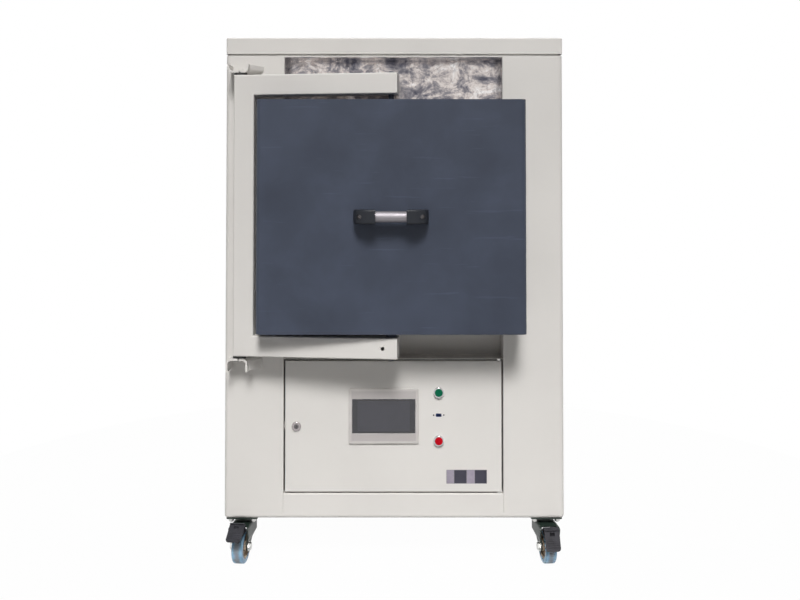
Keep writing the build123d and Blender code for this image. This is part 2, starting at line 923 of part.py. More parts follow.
def make_handle_end():
    """Moulded bracket: a foot on the door that sweeps out to a socket for the tube."""
    outer = handle_length / 2
    socket = handle_tube_seen / 2
    front = -(handle_standoff + handle_height / 2)
    back = -(handle_standoff - handle_height / 2)
    shoulder = socket + handle_insert + handle_tube_wall
    outline = [
        Line((outer - handle_foot, 0), (outer, 0)),
        Line((outer, 0), (outer, -handle_heel)),
        ThreePointArc((outer, -handle_heel), (outer - handle_bow, front * 0.7), (shoulder, front)),
        Line((shoulder, front), (socket, front)),
        Line((socket, front), (socket, back)),
        Line((socket, back), (shoulder, back)),
        Line((shoulder, back), (outer - handle_foot, 0)),
    ]
    end = extrude(make_face(outline), handle_height / 2, both=True)
    rim = [edge for edge in end.edges() if abs(edge.center().Z) > 1 and edge.center().Y < -1]
    end = fillet(rim, handle_round)
    bore = handle_tube_radius + seat_clearance
    end -= Pos(socket + handle_insert / 2, -handle_standoff, 0) * Rot(0, 90, 0) * Cylinder(
        bore, handle_insert
    )
    screw_x = outer - handle_screw_inset
    end -= barrel(screw_x, 0, front, -handle_heel, handle_screw_radius + 2 * seat_clearance)
    return end - barrel(screw_x, 0, -handle_heel, 0, screw_radius + seat_clearance)


def make_handle_tube():
    """Bright tube between the two sockets."""
    length = handle_tube_seen + 2 * handle_insert
    tube = Cylinder(handle_tube_radius, length) - Cylinder(handle_tube_radius - handle_tube_wall, length)
    return Pos(pivot_x, door_face_y - handle_standoff, door_centre_height) * Rot(0, 90, 0) * tube


def make_handle_screw(x):
    """Cap screw with a hexagon socket, through the foot and the door's sheet."""
    seat = door_face_y - handle_heel
    head = barrel(x, door_centre_height, seat - handle_screw_radius, seat, handle_screw_radius)
    socket = Pos(x, seat - handle_screw_radius / 2, door_centre_height) * extrude(
        Plane.XZ * RegularPolygon(screw_radius, 6), handle_screw_radius / 2
    )
    shank = barrel(x, door_centre_height, seat, door_face_y + 2 * door_sheet, screw_radius)
    return head - socket + shank


# ---------------------------------------------------------------- control door
def make_control_door():
    """Flush leaf folded on all four edges, with pivot blocks and the cut-outs for what it carries."""
    leaf = block(leaf_left, leaf_right, front_y, front_y + leaf_depth, leaf_base, leaf_top)
    leaf = fillet(leaf.faces().sort_by(Axis.Y)[0].edges(), leaf_sheet * 1.25)
    leaf = offset(leaf, amount=-leaf_sheet, openings=leaf.faces().sort_by(Axis.Y)[-1])
    inner = leaf_right - 2 * leaf_pivot_inset
    for low, high in (
        (leaf_base, leaf_base + leaf_block_height),
        (leaf_top - leaf_block_height, leaf_top),
    ):
        leaf += block(
            inner, leaf_right - leaf_sheet / 2, front_y + leaf_sheet / 2, front_y + leaf_depth, low, high
        )
        leaf -= post(leaf_pivot_x, leaf_pivot_y, low, high, leaf_pivot_radius + pin_clearance)
    through = front_y + leaf_sheet
    leaf -= barrel(lock_x, lock_height, front_y, through, lock_barrel_radius + seat_clearance)
    for height in (green_button_height, red_button_height):
        leaf -= barrel(button_x, height, front_y, through, button_barrel_radius + seat_clearance)
    for size, x, z in (
        (screen_body, screen_centre_x, screen_centre_height),
        (usb_size, button_x, usb_height),
    ):
        half_x = size[0] / 2 + seat_clearance
        half_z = size[1] / 2 + seat_clearance
        leaf -= block(x - half_x, x + half_x, front_y, through, z - half_z, z + half_z)
    return leaf


def make_leaf_pivots():
    """Fixed pins in the rail and the crossbar, each with a washer in the leaf's gap."""
    pivots = []
    for face, edge, away in (
        (rail_top, leaf_base, 1),
        (crossbar_height - sheet, leaf_top, -1),
    ):
        washer = edge - away * seat_clearance
        tip = edge + away * leaf_pivot_length
        pivot = post(leaf_pivot_x, leaf_pivot_y, min(face, tip), max(face, tip), leaf_pivot_radius)
        pivot += post(
            leaf_pivot_x, leaf_pivot_y, min(face, washer), max(face, washer), 2 * leaf_pivot_radius
        )
        pivots.append(pivot)
    return pivots


def screen_block(size, y0, y1):
    """A block centred on the touch screen, in front of or behind the leaf's face."""
    return block(
        screen_centre_x - size[0] / 2,
        screen_centre_x + size[0] / 2,
        front_y + y0,
        front_y + y1,
        screen_centre_height - size[1] / 2,
        screen_centre_height + size[1] / 2,
    )


def make_screen_housing():
    """Moulded bezel with a sunk field and pocket for the glass, one piece with the body behind."""
    bezel = screen_block(screen_bezel, -bezel_front, 0)
    bezel = fillet(bezel.edges().filter_by(Axis.Y), bezel_corner)
    bezel = fillet(bezel.faces().sort_by(Axis.Y)[0].edges(), bezel_front / 4)
    bezel += screen_block(screen_body, 0, screen_body_depth)
    field = (screen_body[0] - 2, screen_body[1] - 2)
    bezel -= screen_block(field, -bezel_front, field_sunk - bezel_front)
    return bezel - screen_block(screen_glass, -bezel_front, glass_back - bezel_front)


def make_screen_glass():
    """Touch glass in the housing's pocket."""
    size = [side - 2 * seat_clearance for side in screen_glass]
    return screen_block(size, field_sunk + seat_clearance - bezel_front, glass_back - bezel_front)


def make_button_bezel(height):
    """Ring on the leaf and threaded barrel behind it, turned in one piece."""
    ring = barrel(button_x, height, front_y - button_bezel_front, front_y, button_bezel_radius)
    ring = fillet(ring.faces().sort_by(Axis.Y)[0].edges(), button_bezel_round)
    ring += barrel(button_x, height, front_y, front_y + button_barrel_length, button_barrel_radius)
    well = button_bezel_front - button_well
    ring -= barrel(
        button_x, height, front_y - button_bezel_front, front_y - well, button_cap_radius + button_clearance
    )
    bore = button_stem_radius + button_clearance
    return ring - barrel(
        button_x, height, front_y - well, front_y + button_barrel_length, bore
    )


def make_button(height):
    """Push button: a cap that travels in the bezel's well, on a stem."""
    well = front_y - (button_bezel_front - button_well)
    back = well - button_travel - seat_clearance
    cap = barrel(button_x, height, back - button_cap_height, back, button_cap_radius)
    cap = fillet(cap.faces().sort_by(Axis.Y)[0].edges(), button_bezel_round)
    stem_end = front_y + button_barrel_length - button_travel
    return cap + barrel(button_x, height, back, stem_end, button_stem_radius)


def make_usb_port():
    """Panel socket with its tongue, and the flange that holds it behind the leaf."""
    half_x = usb_size[0] / 2
    half_z = usb_size[1] / 2
    wall = half_z / 3
    lip = front_y - usb_lip
    port = block(
        button_x - half_x,
        button_x + half_x,
        lip,
        front_y + usb_body_depth,
        usb_height - half_z,
        usb_height + half_z,
    )
    behind = front_y + leaf_sheet
    port += block(
        button_x - usb_flange / 2,
        button_x + usb_flange / 2,
        behind,
        behind + leaf_sheet,
        usb_height - 1.5 * half_z,
        usb_height + 1.5 * half_z,
    )
    port -= block(
        button_x - half_x + wall,
        button_x + half_x - wall,
        lip,
        lip + usb_socket_depth,
        usb_height - half_z + wall,
        usb_height + half_z - wall,
    )
    return port + block(
        button_x - half_x + 2 * wall,
        button_x + half_x - 2 * wall,
        lip + wall,
        lip + usb_socket_depth,
        usb_height,
        usb_height + wall,
    )


def make_lock_housing():
    """Chromed barrel with a rounded flange in front and a hexagon nut behind the leaf."""
    front = front_y - lock_flange_height
    flange = barrel(lock_x, lock_height, front, front_y, lock_flange_radius)
    flange = fillet(flange.faces().sort_by(Axis.Y)[0].edges(), lock_flange_height / 2)
    nut_end = front_y + leaf_sheet + lock_nut_height
    nut = Pos(lock_x, nut_end, lock_height) * extrude(
        Plane.XZ * RegularPolygon(lock_flange_radius, 6), lock_nut_height
    )
    end = front_y + lock_barrel_length
    housing = flange + nut + barrel(lock_x, lock_height, front_y, end, lock_barrel_radius)
    return housing - barrel(lock_x, lock_height, front, end, lock_core_radius + lock_clearance)


def make_lock_core():
    """Lock core with its keyway, and the cam that hangs down while the lock is open."""
    front = front_y - lock_flange_height
    cam_y = front_y + strike_depth + sheet + lock_clearance * 5
    core = barrel(lock_x, lock_height, front, cam_y, lock_core_radius)
    half_key = lock_core_radius / 2
    core -= block(
        lock_x - key_width / 2,
        lock_x + key_width / 2,
        front,
        front + lock_core_radius,
        lock_height - half_key,
        lock_height + half_key,
    )
    reach = cam_length - lock_core_radius
    cam = Pos(lock_x, cam_y + cam_thickness, lock_height - reach / 2) * extrude(
        Plane.XZ * SlotCenterToCenter(reach, 2 * lock_core_radius, rotation=90), cam_thickness
    )
    return core + cam


# ---------------------------------------------------------------- castors
def castor_bolt_places():
    """Where the bolts of the four top plates stand."""
    half = castor_bolt_spacing / 2
    return [
        Pos(side * castor_x + dx, y + dy, 0)
        for side in (-1, 1)
        for y in (front_castor_y, rear_castor_y)
        for dx in (-half, half)
        for dy in (-half, half)
    ]


def make_castor_plate(x, y):
    """Top plate with its kingpin and the nut that the fork hangs on."""
    outline = RectangleRounded(castor_plate_size, castor_plate_size, corner_radius / 2)
    plate = extrude(Pos(x, y, castor_plate_base) * outline, castor_plate_thickness)
    half = castor_bolt_spacing / 2
    for dx in (-half, half):
        for dy in (-half, half):
            plate -= post(
                x + dx, y + dy, castor_plate_base, cabinet_base, castor_bolt_radius + bolt_clearance
            )
    web = fork_top_height - fork_plate
    nut_base = web - castor_clearance - kingpin_nut_height
    plate += post(x, y, nut_base, castor_plate_base, kingpin_radius)
    return plate + post(x, y, nut_base, web - castor_clearance, kingpin_nut_radius)


def make_castor_bolt():
    """Hexagon bolt up through the top plate and the pan, with its nut inside."""
    floor = cabinet_base + sheet
    hexagon = RegularPolygon(castor_bolt_head, 6)
    head = extrude(Pos(0, 0, castor_plate_base - castor_bolt_radius) * hexagon, castor_bolt_radius)
    nut = extrude(Pos(0, 0, floor) * hexagon, castor_bolt_radius)
    return head + nut + post(0, 0, castor_plate_base, floor, castor_bolt_radius)


def make_fork(with_pedal):
    """Pressed swivel fork: crown with an apron, and legs that close in above the wheel."""
    inner = fork_gap / 2
    low = fork_top_height - fork_plate
    knee = wheel_radius + fork_knee
    shoulder = fork_top_height - fork_crown_depth
    bent = folded_sheet(
        [
            (inner, 0),
            (inner, knee),
            (fork_crown_half, shoulder),
            (fork_crown_half, low),
            (-fork_crown_half, low),
            (-fork_crown_half, shoulder),
            (-inner, knee),
            (-inner, 0),
        ],
        [fork_bend] * 6,
        fork_plate,
        Side.RIGHT,
        Plane.YZ.offset(-wheel_radius),
        4 * wheel_radius,
    )
    half = raceway_radius
    crown_middle = fork_top_height - fork_crown_depth / 2
    silhouette = Pos(0, crown_middle) * Rectangle(2 * half, fork_crown_depth)
    silhouette += Pos(castor_trail, wheel_radius) * Circle(leg_boss_radius)
    if with_pedal:
        silhouette += Pos(*pedal_hinge) * Circle(pedal_boss_radius + pedal_plate / 2)
    side = extrude(Plane.XZ * make_hull(silhouette.edges()), 2 * half, both=True)
    fork = bent & side
    fork += block(
        half - fork_plate,
        half,
        -fork_crown_half,
        fork_crown_half,
        fork_top_height - fork_apron_depth,
        low,
    )
    fork += post(0, 0, low, castor_plate_base - castor_clearance, raceway_radius - fork_bend)
    fork -= post(0, 0, low, castor_plate_base, kingpin_radius + castor_clearance)
    outer = inner + fork_plate
    fork -= barrel(castor_trail, wheel_radius, -outer, outer, axle_radius + axle_clearance)
    if with_pedal:
        reach = fork_crown_half + fork_plate
        fork -= barrel(*pedal_hinge, -reach, reach, pedal_pin_radius + pin_clearance)
    return fork


def make_axle():
    """Axle bolt with head and nut outside the fork's legs."""
    outer = fork_gap / 2 + fork_plate
    axle = barrel(castor_trail, wheel_radius, -outer, outer, axle_radius)
    hexagon = Plane.XZ * RegularPolygon(axle_head_radius, 6)
    for start in (-outer, outer + axle_radius):
        axle += Pos(castor_trail, start, wheel_radius) * extrude(hexagon, axle_radius)
    return axle


def make_tyre():
    """Soft tread moulded round the hub."""
    tyre = fillet(Cylinder(wheel_radius, wheel_width).edges(), tread_round)
    return wheel_place * (tyre - Cylinder(hub_radius, wheel_width))


def make_hub():
    """Dished hub with a boss that runs on the axle."""
    hub = Cylinder(hub_radius, wheel_width - hub_sunk)
    pocket = Cylinder(hub_radius - hub_rim, hub_dish) - Cylinder(hub_boss_radius, hub_dish)
    for side in (-1, 1):
        hub -= Pos(0, 0, side * (wheel_width - hub_sunk - hub_dish) / 2) * pocket
    hub += Cylinder(hub_boss_radius, fork_gap - 2 * castor_clearance)
    return wheel_place * (hub - Cylinder(axle_radius + axle_clearance, fork_gap))


def make_pedal():
    """Brake pedal: pin, arm with the shoe for the tyre, ledge, and a slotted tread with a lip."""
    hinge_t, hinge_z = pedal_hinge
    half_arm = fork_gap / 2 - castor_clearance
    back, front, underside = pedal_ledge
    half = pedal_width / 2
    ledge = block(back, front, -half, half, underside, underside + pedal_plate)
    corners = ledge.edges().filter_by(Axis.Z).sort_by(Axis.X)[-2:]
    pedal = fillet(corners, pedal_plate)

    top_t, top_z = pedal_top
    tip_t, tip_z = pedal_tip
    fall = Vector(tip_t - top_t, 0, tip_z - top_z)
    length = fall.length
    face = Plane(origin=(top_t, 0, top_z), x_dir=(0, 1, 0), z_dir=Vector(fall.Z, 0, -fall.X) * -1)
    tread = Pos(0, -length / 2) * Rectangle(pedal_width, length)
    tread = fillet(tread.vertices().group_by(Axis.Y)[0], pedal_tip_round)
    slot_y = -pedal_slot_below - pedal_slot[1] / 2
    tread -= Pos(0, slot_y) * Rectangle(*pedal_slot)
    pedal += extrude(face * tread, pedal_plate)

    arm = Pos(hinge_t, hinge_z) * Circle(pedal_boss_radius - pin_clearance)
    arm += Pos(back + pedal_plate, underside + pedal_plate / 2) * Circle(pedal_plate / 2)
    arm += Pos(top_t, underside) * Circle(pedal_plate / 2)
    arm += Pos(*pedal_shoe) * Circle(pedal_shoe_radius)
    pedal += extrude(Plane.XZ * make_hull(arm.edges()), half_arm, both=True)
    reach = fork_crown_half + fork_plate
    return pedal + barrel(hinge_t, hinge_z, -reach, reach, pedal_pin_radius)


def castor_place(side, y, splay):
    """Swivel axis on the floor, with the wheel trailing to the front and outwards."""
    return Pos(side * castor_x, y, 0) * Rot(0, 0, -90 + side * splay)


# ---------------------------------------------------------------- the pieces, node by node
save("base_pan", make_base_pan())
save("left_side_panel", make_side_panel(recess_left, -1) + make_lock_strike())
save("right_side_panel", make_side_panel(recess_right, 1))
save("crossbar", make_crossbar())
save("top_frame", make_top_frame())
save("top_cap", make_top_cap())
save("mouth_plate", make_mouth_plate())
save("deck", make_deck())

save("inner_case", make_inner_case())
save("hearth_board", make_floor_board())
save("roof_board", make_roof_board())
save("wall_boards", *make_wall_boards())
save("rear_board", make_rear_board())
save("hearth_plate", make_hearth_plate())
element_places = [
    (chamber_x + side * element_x, front_y + depth) for side in (-1, 1) for depth in element_depths
]
strap_places = [
    (chamber_x + side * element_x, front_y + depth + element_pitch / 2)
    for side in (-1, 1)
    for depth in element_depths[:-1]
]
save("heating_elements", *[make_element(x, y) for x, y in element_places])
save("element_clamps", *[make_element_clamp(x, y) for x, y in element_places])
save("element_straps", *[make_element_strap(x, y) for x, y in strap_places])
save("thermocouple", make_thermocouple())

save("mounting_plate", make_mounting_plate())
save("power_controller", make_power_controller())
save("switchgear", *make_switchgear())
save("transformer", *make_transformer())
save("rear_cover", make_rear_cover())
save("cable_gland", make_cable_gland())

upper_bracket = make_bracket(upper_bracket_height, yoke_top + bracket_gap, True)
lower_bracket = make_bracket(lower_bracket_height, yoke_bottom - bracket_gap, False)
save("hinge_brackets", upper_bracket, lower_bracket)
save("hinge_pins", *make_hinge_pins())
save("yoke", make_yoke())

save("door_shell", make_door_shell())
save("door_back_plate", make_door_back_plate())
save("door_plug", make_door_plug())
save("door_pivots", *make_door_pivots())
handle_end = make_handle_end()
on_door = Pos(pivot_x, door_face_y, door_centre_height)
save("handle_ends", on_door * handle_end, on_door * mirror(handle_end, Plane.YZ))
save("handle_tube", make_handle_tube())
save("handle_screws", *[make_handle_screw(x) for x in handle_screw_places()])

save("control_door", make_control_door())
save("leaf_pivots", *make_leaf_pivots())
save("screen_housing", make_screen_housing())
save("screen_glass", make_screen_glass())
save("button_bezels", *[make_button_bezel(z) for z in (green_button_height, red_button_height)])
save("green_button", make_button(green_button_height))
save("red_button", make_button(red_button_height))
save("usb_port", make_usb_port())
save("lock_housing", make_lock_housing())
save("lock_core", make_lock_core())

castors = {
    "front_left": castor_place(-1, front_castor_y, castor_splay),
    "front_right": castor_place(1, front_castor_y, castor_splay),
    "rear_left": castor_place(-1, rear_castor_y, rear_castor_splay),
    "rear_right": castor_place(1, rear_castor_y, rear_castor_splay),
}
save(
    "castor_plates",
    *[
        make_castor_plate(side * castor_x, y)
        for side in (-1, 1)
        for y in (front_castor_y, rear_castor_y)
    ],
)
save("castor_bolts", *[place * make_castor_bolt() for place in castor_bolt_places()])
for name, place in castors.items():
    with_pedal = name.startswith("front")
    save(f"fork_{name}", place * make_fork(with_pedal), place * make_axle())
    save(f"hub_{name}", place * make_hub())
    save(f"tyre_{name}", place * make_tyre())

pedal = make_pedal()
hinge_t, hinge_z = pedal_hinge
raised = Pos(hinge_t, 0, hinge_z) * Rot(0, -pedal_swing, 0) * Pos(-hinge_t, 0, -hinge_z) * pedal
save("pedal_left", castors["front_left"] * raised)
save("pedal_right", castors["front_right"] * pedal)
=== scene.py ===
# %% [markdown]
# # A muffle furnace on castors
# This lesson dresses a finished CAD model of a box furnace with believable surfaces and small parts.
# The CAD pieces are the frame: they arrive in metres, at rest, and are never moved. What is added here
# is paint, steel, rubber and fibre made from nodes, and the little fittings that repeat.

import json
from math import atan2, radians

import bpy
import bmesh
from mathutils import Matrix, Vector


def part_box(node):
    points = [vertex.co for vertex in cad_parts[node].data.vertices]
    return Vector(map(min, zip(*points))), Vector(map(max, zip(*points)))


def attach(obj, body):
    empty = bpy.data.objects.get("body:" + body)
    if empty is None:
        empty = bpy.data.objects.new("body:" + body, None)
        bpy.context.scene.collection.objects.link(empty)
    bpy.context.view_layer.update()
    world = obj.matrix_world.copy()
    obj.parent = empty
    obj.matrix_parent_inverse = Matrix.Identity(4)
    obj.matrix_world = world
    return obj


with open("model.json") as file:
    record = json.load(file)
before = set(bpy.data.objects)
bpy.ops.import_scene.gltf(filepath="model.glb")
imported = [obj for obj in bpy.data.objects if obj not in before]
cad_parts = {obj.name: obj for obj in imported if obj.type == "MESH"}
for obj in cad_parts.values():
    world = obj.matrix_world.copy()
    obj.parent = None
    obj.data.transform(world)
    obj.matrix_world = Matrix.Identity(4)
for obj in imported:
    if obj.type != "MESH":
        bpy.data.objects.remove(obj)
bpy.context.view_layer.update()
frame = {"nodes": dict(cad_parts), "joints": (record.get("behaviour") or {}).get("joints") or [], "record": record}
nodes = frame["nodes"]
slot_of = {part["node"]: part["material_slot"] for part in frame["record"]["subparts"]}

# %% [markdown]
# ## Small helpers for material nodes
# A Blender material is a graph. Writing one by hand is long, so three helpers do the wiring: one adds a
# node and fills its sockets, one gives a noise field measured in metres on the object's own
# coordinates, and one turns a height field into bump. Working in Object coordinates keeps the grain of
# the paint the same size on every panel.


# %% Helpers for shader graphs
def add(tree, kind, sockets=None, **settings):
    """A node of that kind, with its settings and its input sockets filled or linked."""
    made = tree.nodes.new(kind)
    for key, value in settings.items():
        setattr(made, key, value)
    for key, value in (sockets or {}).items():
        if isinstance(value, bpy.types.NodeSocket):
            tree.links.new(value, made.inputs[key])
        else:
            made.inputs[key].default_value = value
    return made


def place_of(tree, stretch=(1, 1, 1), centre=(0, 0, 0), turn=0.0):
    """Object coordinates in metres, seen from a piece's own centre and heading, then stretched."""
    where = add(tree, "ShaderNodeTexCoord").outputs["Object"]
    if any(centre) or turn:
        where = add(
            tree,
            "ShaderNodeMapping",
            {"Vector": where, "Location": centre, "Rotation": (0, 0, turn)},
            vector_type="TEXTURE",
        ).outputs[0]
    if stretch != (1, 1, 1):
        where = add(tree, "ShaderNodeMapping", {"Vector": where, "Scale": stretch}).outputs[0]
    return where


def noise(tree, per_metre, detail=3.0, roughness=0.5, distortion=0.0, **place):
    """A noise field whose lumps are about one part in per_metre of a metre."""
    sockets = {
        "Vector": place_of(tree, **place),
        "Scale": per_metre,
        "Detail": detail,
        "Roughness": roughness,
        "Distortion": distortion,
    }
    return add(tree, "ShaderNodeTexNoise", sockets).outputs[0]


def ramp(tree, value, stops, interpolation="LINEAR"):
    """Colours along a value: stops are (place, colour) pairs, and a number stands for a grey."""
    made = add(tree, "ShaderNodeValToRGB", {"Fac": value})
    made.color_ramp.interpolation = interpolation
    band = made.color_ramp.elements
    while len(band) < len(stops):
        band.new(1.0)
    for element, (at, colour) in zip(band, stops):
        element.position = at
        element.color = (*colour, 1) if isinstance(colour, tuple) else (colour, colour, colour, 1)
    return made.outputs[0]


def mix(tree, share, a, b, blend="MIX"):
    """Colour b over colour a."""
    made = add(tree, "ShaderNodeMix", data_type="RGBA", blend_type=blend)
    for socket, value in ((0, share), (6, a), (7, b)):
        if isinstance(value, bpy.types.NodeSocket):
            tree.links.new(value, made.inputs[socket])
        else:
            made.inputs[socket].default_value = (*value, 1) if isinstance(value, tuple) else value
    return made.outputs[2]


def sums(tree, operation, a, b=0.0, clamp=False):
    """Two values added, multiplied or compared."""
    return add(tree, "ShaderNodeMath", {0: a, 1: b}, operation=operation, use_clamp=clamp).outputs[0]


def bump(tree, height, depth, strength=1.0, before=None):
    """Bump of that depth in metres from a height field."""
    sockets = {"Height": height, "Distance": depth, "Strength": strength}
    if before is not None:
        sockets["Normal"] = before
    return add(tree, "ShaderNodeBump", sockets).outputs[0]


def finish(name, **sockets):
    """A new material with its Principled shader, whose constant sockets are set directly."""
    made = bpy.data.materials.new(name)
    made.use_nodes = True
    shader = made.node_tree.nodes["Principled BSDF"]
    for key, value in sockets.items():
        key = key.replace("_", " ")
        shader.inputs[key].default_value = (*value, 1) if isinstance(value, tuple) else value
    return made, made.node_tree, shader.inputs


def tinted(colour, factor):
    """The same colour, lighter or darker."""
    return tuple(min(1.0, part * factor) for part in colour)


print("helpers ready")

# %% [markdown]
# ## Powder coat
# The cabinet is sheet steel with a warm off-white powder coat. Powder melts into a skin that is nearly
# flat but never quite: under a lamp it shows a fine orange peel of about two millimetres. It could be a
# displacement map, but a bump from two noises is enough at this depth. Wide, faint clouds in the colour
# and in the gloss keep large panels from looking like plastic.


# %% Painted steel
def powder_coat(name, colour, gloss=0.42, cloud=0.04, peel=0.00012, centre=(0, 0, 0)):
    """Sheet steel under baked powder."""
    made, tree, sockets = finish(name, IOR=1.5)
    wide = noise(tree, 2.2, detail=4.0, distortion=0.4)
    lights = ramp(tree, wide, [(0.3, tinted(colour, 1 - cloud)), (0.7, tinted(colour, 1 + cloud))])
    speck = ramp(tree, noise(tree, 900.0, detail=1.0), [(0.60, 0.0), (0.80, 0.06)])
    base = mix(tree, speck, lights, tinted(colour, 0.72))
    tree.links.new(base, sockets["Base Color"])
    dull = ramp(tree, noise(tree, 7.0, detail=5.0), [(0.25, gloss - 0.05), (0.75, gloss + 0.08)])
    tree.links.new(dull, sockets["Roughness"])
    skin = noise(tree, 420.0, detail=2.0)
    tree.links.new(bump(tree, skin, peel, 0.5), sockets["Normal"])
    return made


OFF_WHITE = (0.655, 0.638, 0.614)
paints = {"paint_white": powder_coat("off_white_powder", OFF_WHITE)}
print("paints:", list(paints))

# %% [markdown]
# ## The blue door's paint
# The door gets hot, so its slate-blue paint is a heat-resisting wrinkle-free enamel that has been wiped
# many times. Soft clouds a hand wide, a few paler wipes and long faint scratches make it read as a used
# panel. All of that sits in the colour and the roughness: the surface itself is flat.


# %% Wiped slate-blue enamel
def slate_enamel(name, colour):
    """Dark enamel with wipe marks and hairline scratches."""
    made, tree, sockets = finish(name, IOR=1.47, Specular_IOR_Level=0.3)
    clouds = noise(tree, 6.0, detail=4.0, roughness=0.55, distortion=0.2)
    base = ramp(
        tree,
        clouds,
        [(0.30, tinted(colour, 0.86)), (0.50, colour), (0.72, tinted(colour, 1.28))],
    )
    wipes = noise(tree, 3.4, detail=3.0, distortion=0.5, stretch=(1.0, 1.0, 0.6))
    base = mix(tree, ramp(tree, wipes, [(0.55, 0.0), (0.78, 0.5)]), base, tinted(colour, 1.5))
    hairs = noise(tree, 60.0, detail=2.0, stretch=(0.12, 1.0, 1.6))
    base = mix(tree, ramp(tree, hairs, [(0.66, 0.0), (0.75, 0.22)]), base, tinted(colour, 2.2))
    tree.links.new(base, sockets["Base Color"])
    gloss = ramp(tree, clouds, [(0.25, 0.40), (0.75, 0.56)])
    tree.links.new(gloss, sockets["Roughness"])
    skin = noise(tree, 500.0, detail=2.0)
    tree.links.new(bump(tree, skin, 0.00010, 0.5), sockets["Normal"])
    return made


SLATE = (0.042, 0.051, 0.076)
paints["paint_blue"] = slate_enamel("slate_blue_enamel", SLATE)
paints["fork_green"] = powder_coat("dark_green_fork_paint", (0.017, 0.028, 0.022), gloss=0.40, cloud=0.3)
print("paints:", list(paints))

# %% [markdown]
# ## Steels
# Bright sheet behind the door has been polished and then heated, so it is a mirror that wobbles. Its colour
# carries blotches where it has been touched, and also painted reflection: dark and pale patches and dark
# streaks for what it mirrors, and a painted dark reflection towards its two ends. Galvanised sheet shows its
# spangle, the crystals of zinc, and turned or plated parts only need faint brushing. One function makes
# each family.


# %% Polished stainless sheet
def mirror_sheet(name):
    """Polished sheet that wobbles, clouded by heat and fingers, with painted reflection: dark patches, streaks,
    dark ends.
    """
    made, tree, sockets = finish(name, Metallic=1.0)
    # The blotches are partly touch marks and partly painted reflection: patches from near black to pale warm grey.
    blotch_and_reflection = noise(tree, 17.0, detail=10.0, roughness=0.72, distortion=0.5, stretch=(0.8, 1.0, 1.2))
    tone_with_painted_light = ramp(
        tree,
        blotch_and_reflection,
        [(0.38, (0.08, 0.08, 0.105)), (0.47, (0.28, 0.265, 0.28)), (0.55, (0.62, 0.56, 0.53)), (0.70, 0.90)],
    )
    # Dark vertical streaks: painted reflection of the recess's side walls.
    reflection_streak = noise(tree, 70.0, detail=8.0, roughness=0.70, distortion=0.3, stretch=(1.0, 1.0, 0.50))
    tone_with_painted_light = mix(tree, ramp(tree, reflection_streak, [(0.50, 0.0), (0.70, 0.8)]), tone_with_painted_light, (0.13, 0.125, 0.15))
    # Towards the plate's two ends the colour darkens: painted reflection of the dark recess walls.
    low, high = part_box("mouth_plate")
    across = add(tree, "ShaderNodeSeparateXYZ", {0: place_of(tree)}).outputs[0]
    off = sums(tree, "ABSOLUTE", sums(tree, "SUBTRACT", across, (low.x + high.x) / 2))
    ragged = sums(tree, "ADD", off, sums(tree, "MULTIPLY", reflection_streak, 0.05))
    half = (high.x - low.x) / 2
    dark_reflection_fade = 0.035
    rim = add(tree, "ShaderNodeMapRange", {"Value": ragged, "From Min": half, "From Max": half + dark_reflection_fade})
    tone_with_painted_light = mix(tree, sums(tree, "MULTIPLY", rim.outputs[0], 0.6), tone_with_painted_light, (0.08, 0.08, 0.10))
    tree.links.new(tone_with_painted_light, sockets["Base Color"])
    haze = ramp(tree, noise(tree, 30.0, detail=5.0), [(0.3, 0.10), (0.75, 0.34)])
    tree.links.new(haze, sockets["Roughness"])
    waves = bump(tree, noise(tree, 9.0, detail=2.0, distortion=0.6), 0.012, 0.55)
    fine = bump(tree, noise(tree, 300.0, detail=2.0), 0.00005, 0.4, before=waves)
    tree.links.new(fine, sockets["Normal"])
    return made


# %% Plated, galvanised and turned metals
def plated(name, colour, rough, spread=0.08, grain=180.0, stretch=(1, 1, 1)):
    """Metal with faint handling marks."""
    made, tree, sockets = finish(name, Metallic=1.0)
    marks = noise(tree, grain, detail=4.0, stretch=stretch)
    base = ramp(tree, marks, [(0.3, tinted(colour, 0.84)), (0.7, tinted(colour, 1.08))])
    tree.links.new(base, sockets["Base Color"])
    dull = ramp(tree, noise(tree, grain * 0.4, detail=3.0), [(0.3, rough), (0.75, rough + spread)])
    tree.links.new(dull, sockets["Roughness"])
    tree.links.new(bump(tree, marks, 0.00004, 0.35), sockets["Normal"])
    return made


def galvanised_sheet(name):
    """Zinc-dipped sheet: flat crystals, each with its own grey and its own gloss."""
    made, tree, sockets = finish(name, Metallic=1.0)
    crystals = add(
        tree, "ShaderNodeTexVoronoi", {"Vector": place_of(tree), "Scale": 90.0, "Randomness": 1.0}
    ).outputs["Color"]
    base = ramp(tree, crystals, [(0.0, (0.40, 0.41, 0.43)), (1.0, (0.66, 0.67, 0.69))])
    tree.links.new(base, sockets["Base Color"])
    tree.links.new(ramp(tree, crystals, [(0.0, 0.36), (1.0, 0.58)]), sockets["Roughness"])
    return made


metals = {
    "stainless": mirror_sheet("polished_stainless"),
    "galvanised": galvanised_sheet("galvanised_steel"),
    "zinc": plated("bright_zinc_plate", (0.62, 0.62, 0.60), 0.26),
    "aluminium": plated("satin_aluminium", (0.27, 0.255, 0.272), 0.54, stretch=(0.05, 1, 1)),
    # The lock's nickel is drawn dark and its ring a pinkish grey: painted reflection of dark and warm
    # surroundings.
    "lock_nickel": plated("nickel_painted_dark_reflection", (0.16, 0.15, 0.155), 0.24, grain=900.0),
    "lock_ring": plated("nickel_ring_painted_reflection", (0.42, 0.385, 0.385), 0.22, grain=900.0),
    "probe_steel": plated("probe_sheath_steel", (0.50, 0.47, 0.44), 0.36, grain=90.0),
    "chrome": plated("hard_chrome", (0.58, 0.58, 0.59), 0.10, spread=0.05),
    "black_screw": plated("black_oxide", (0.055, 0.055, 0.06), 0.34),
}
print("metals:", list(metals))

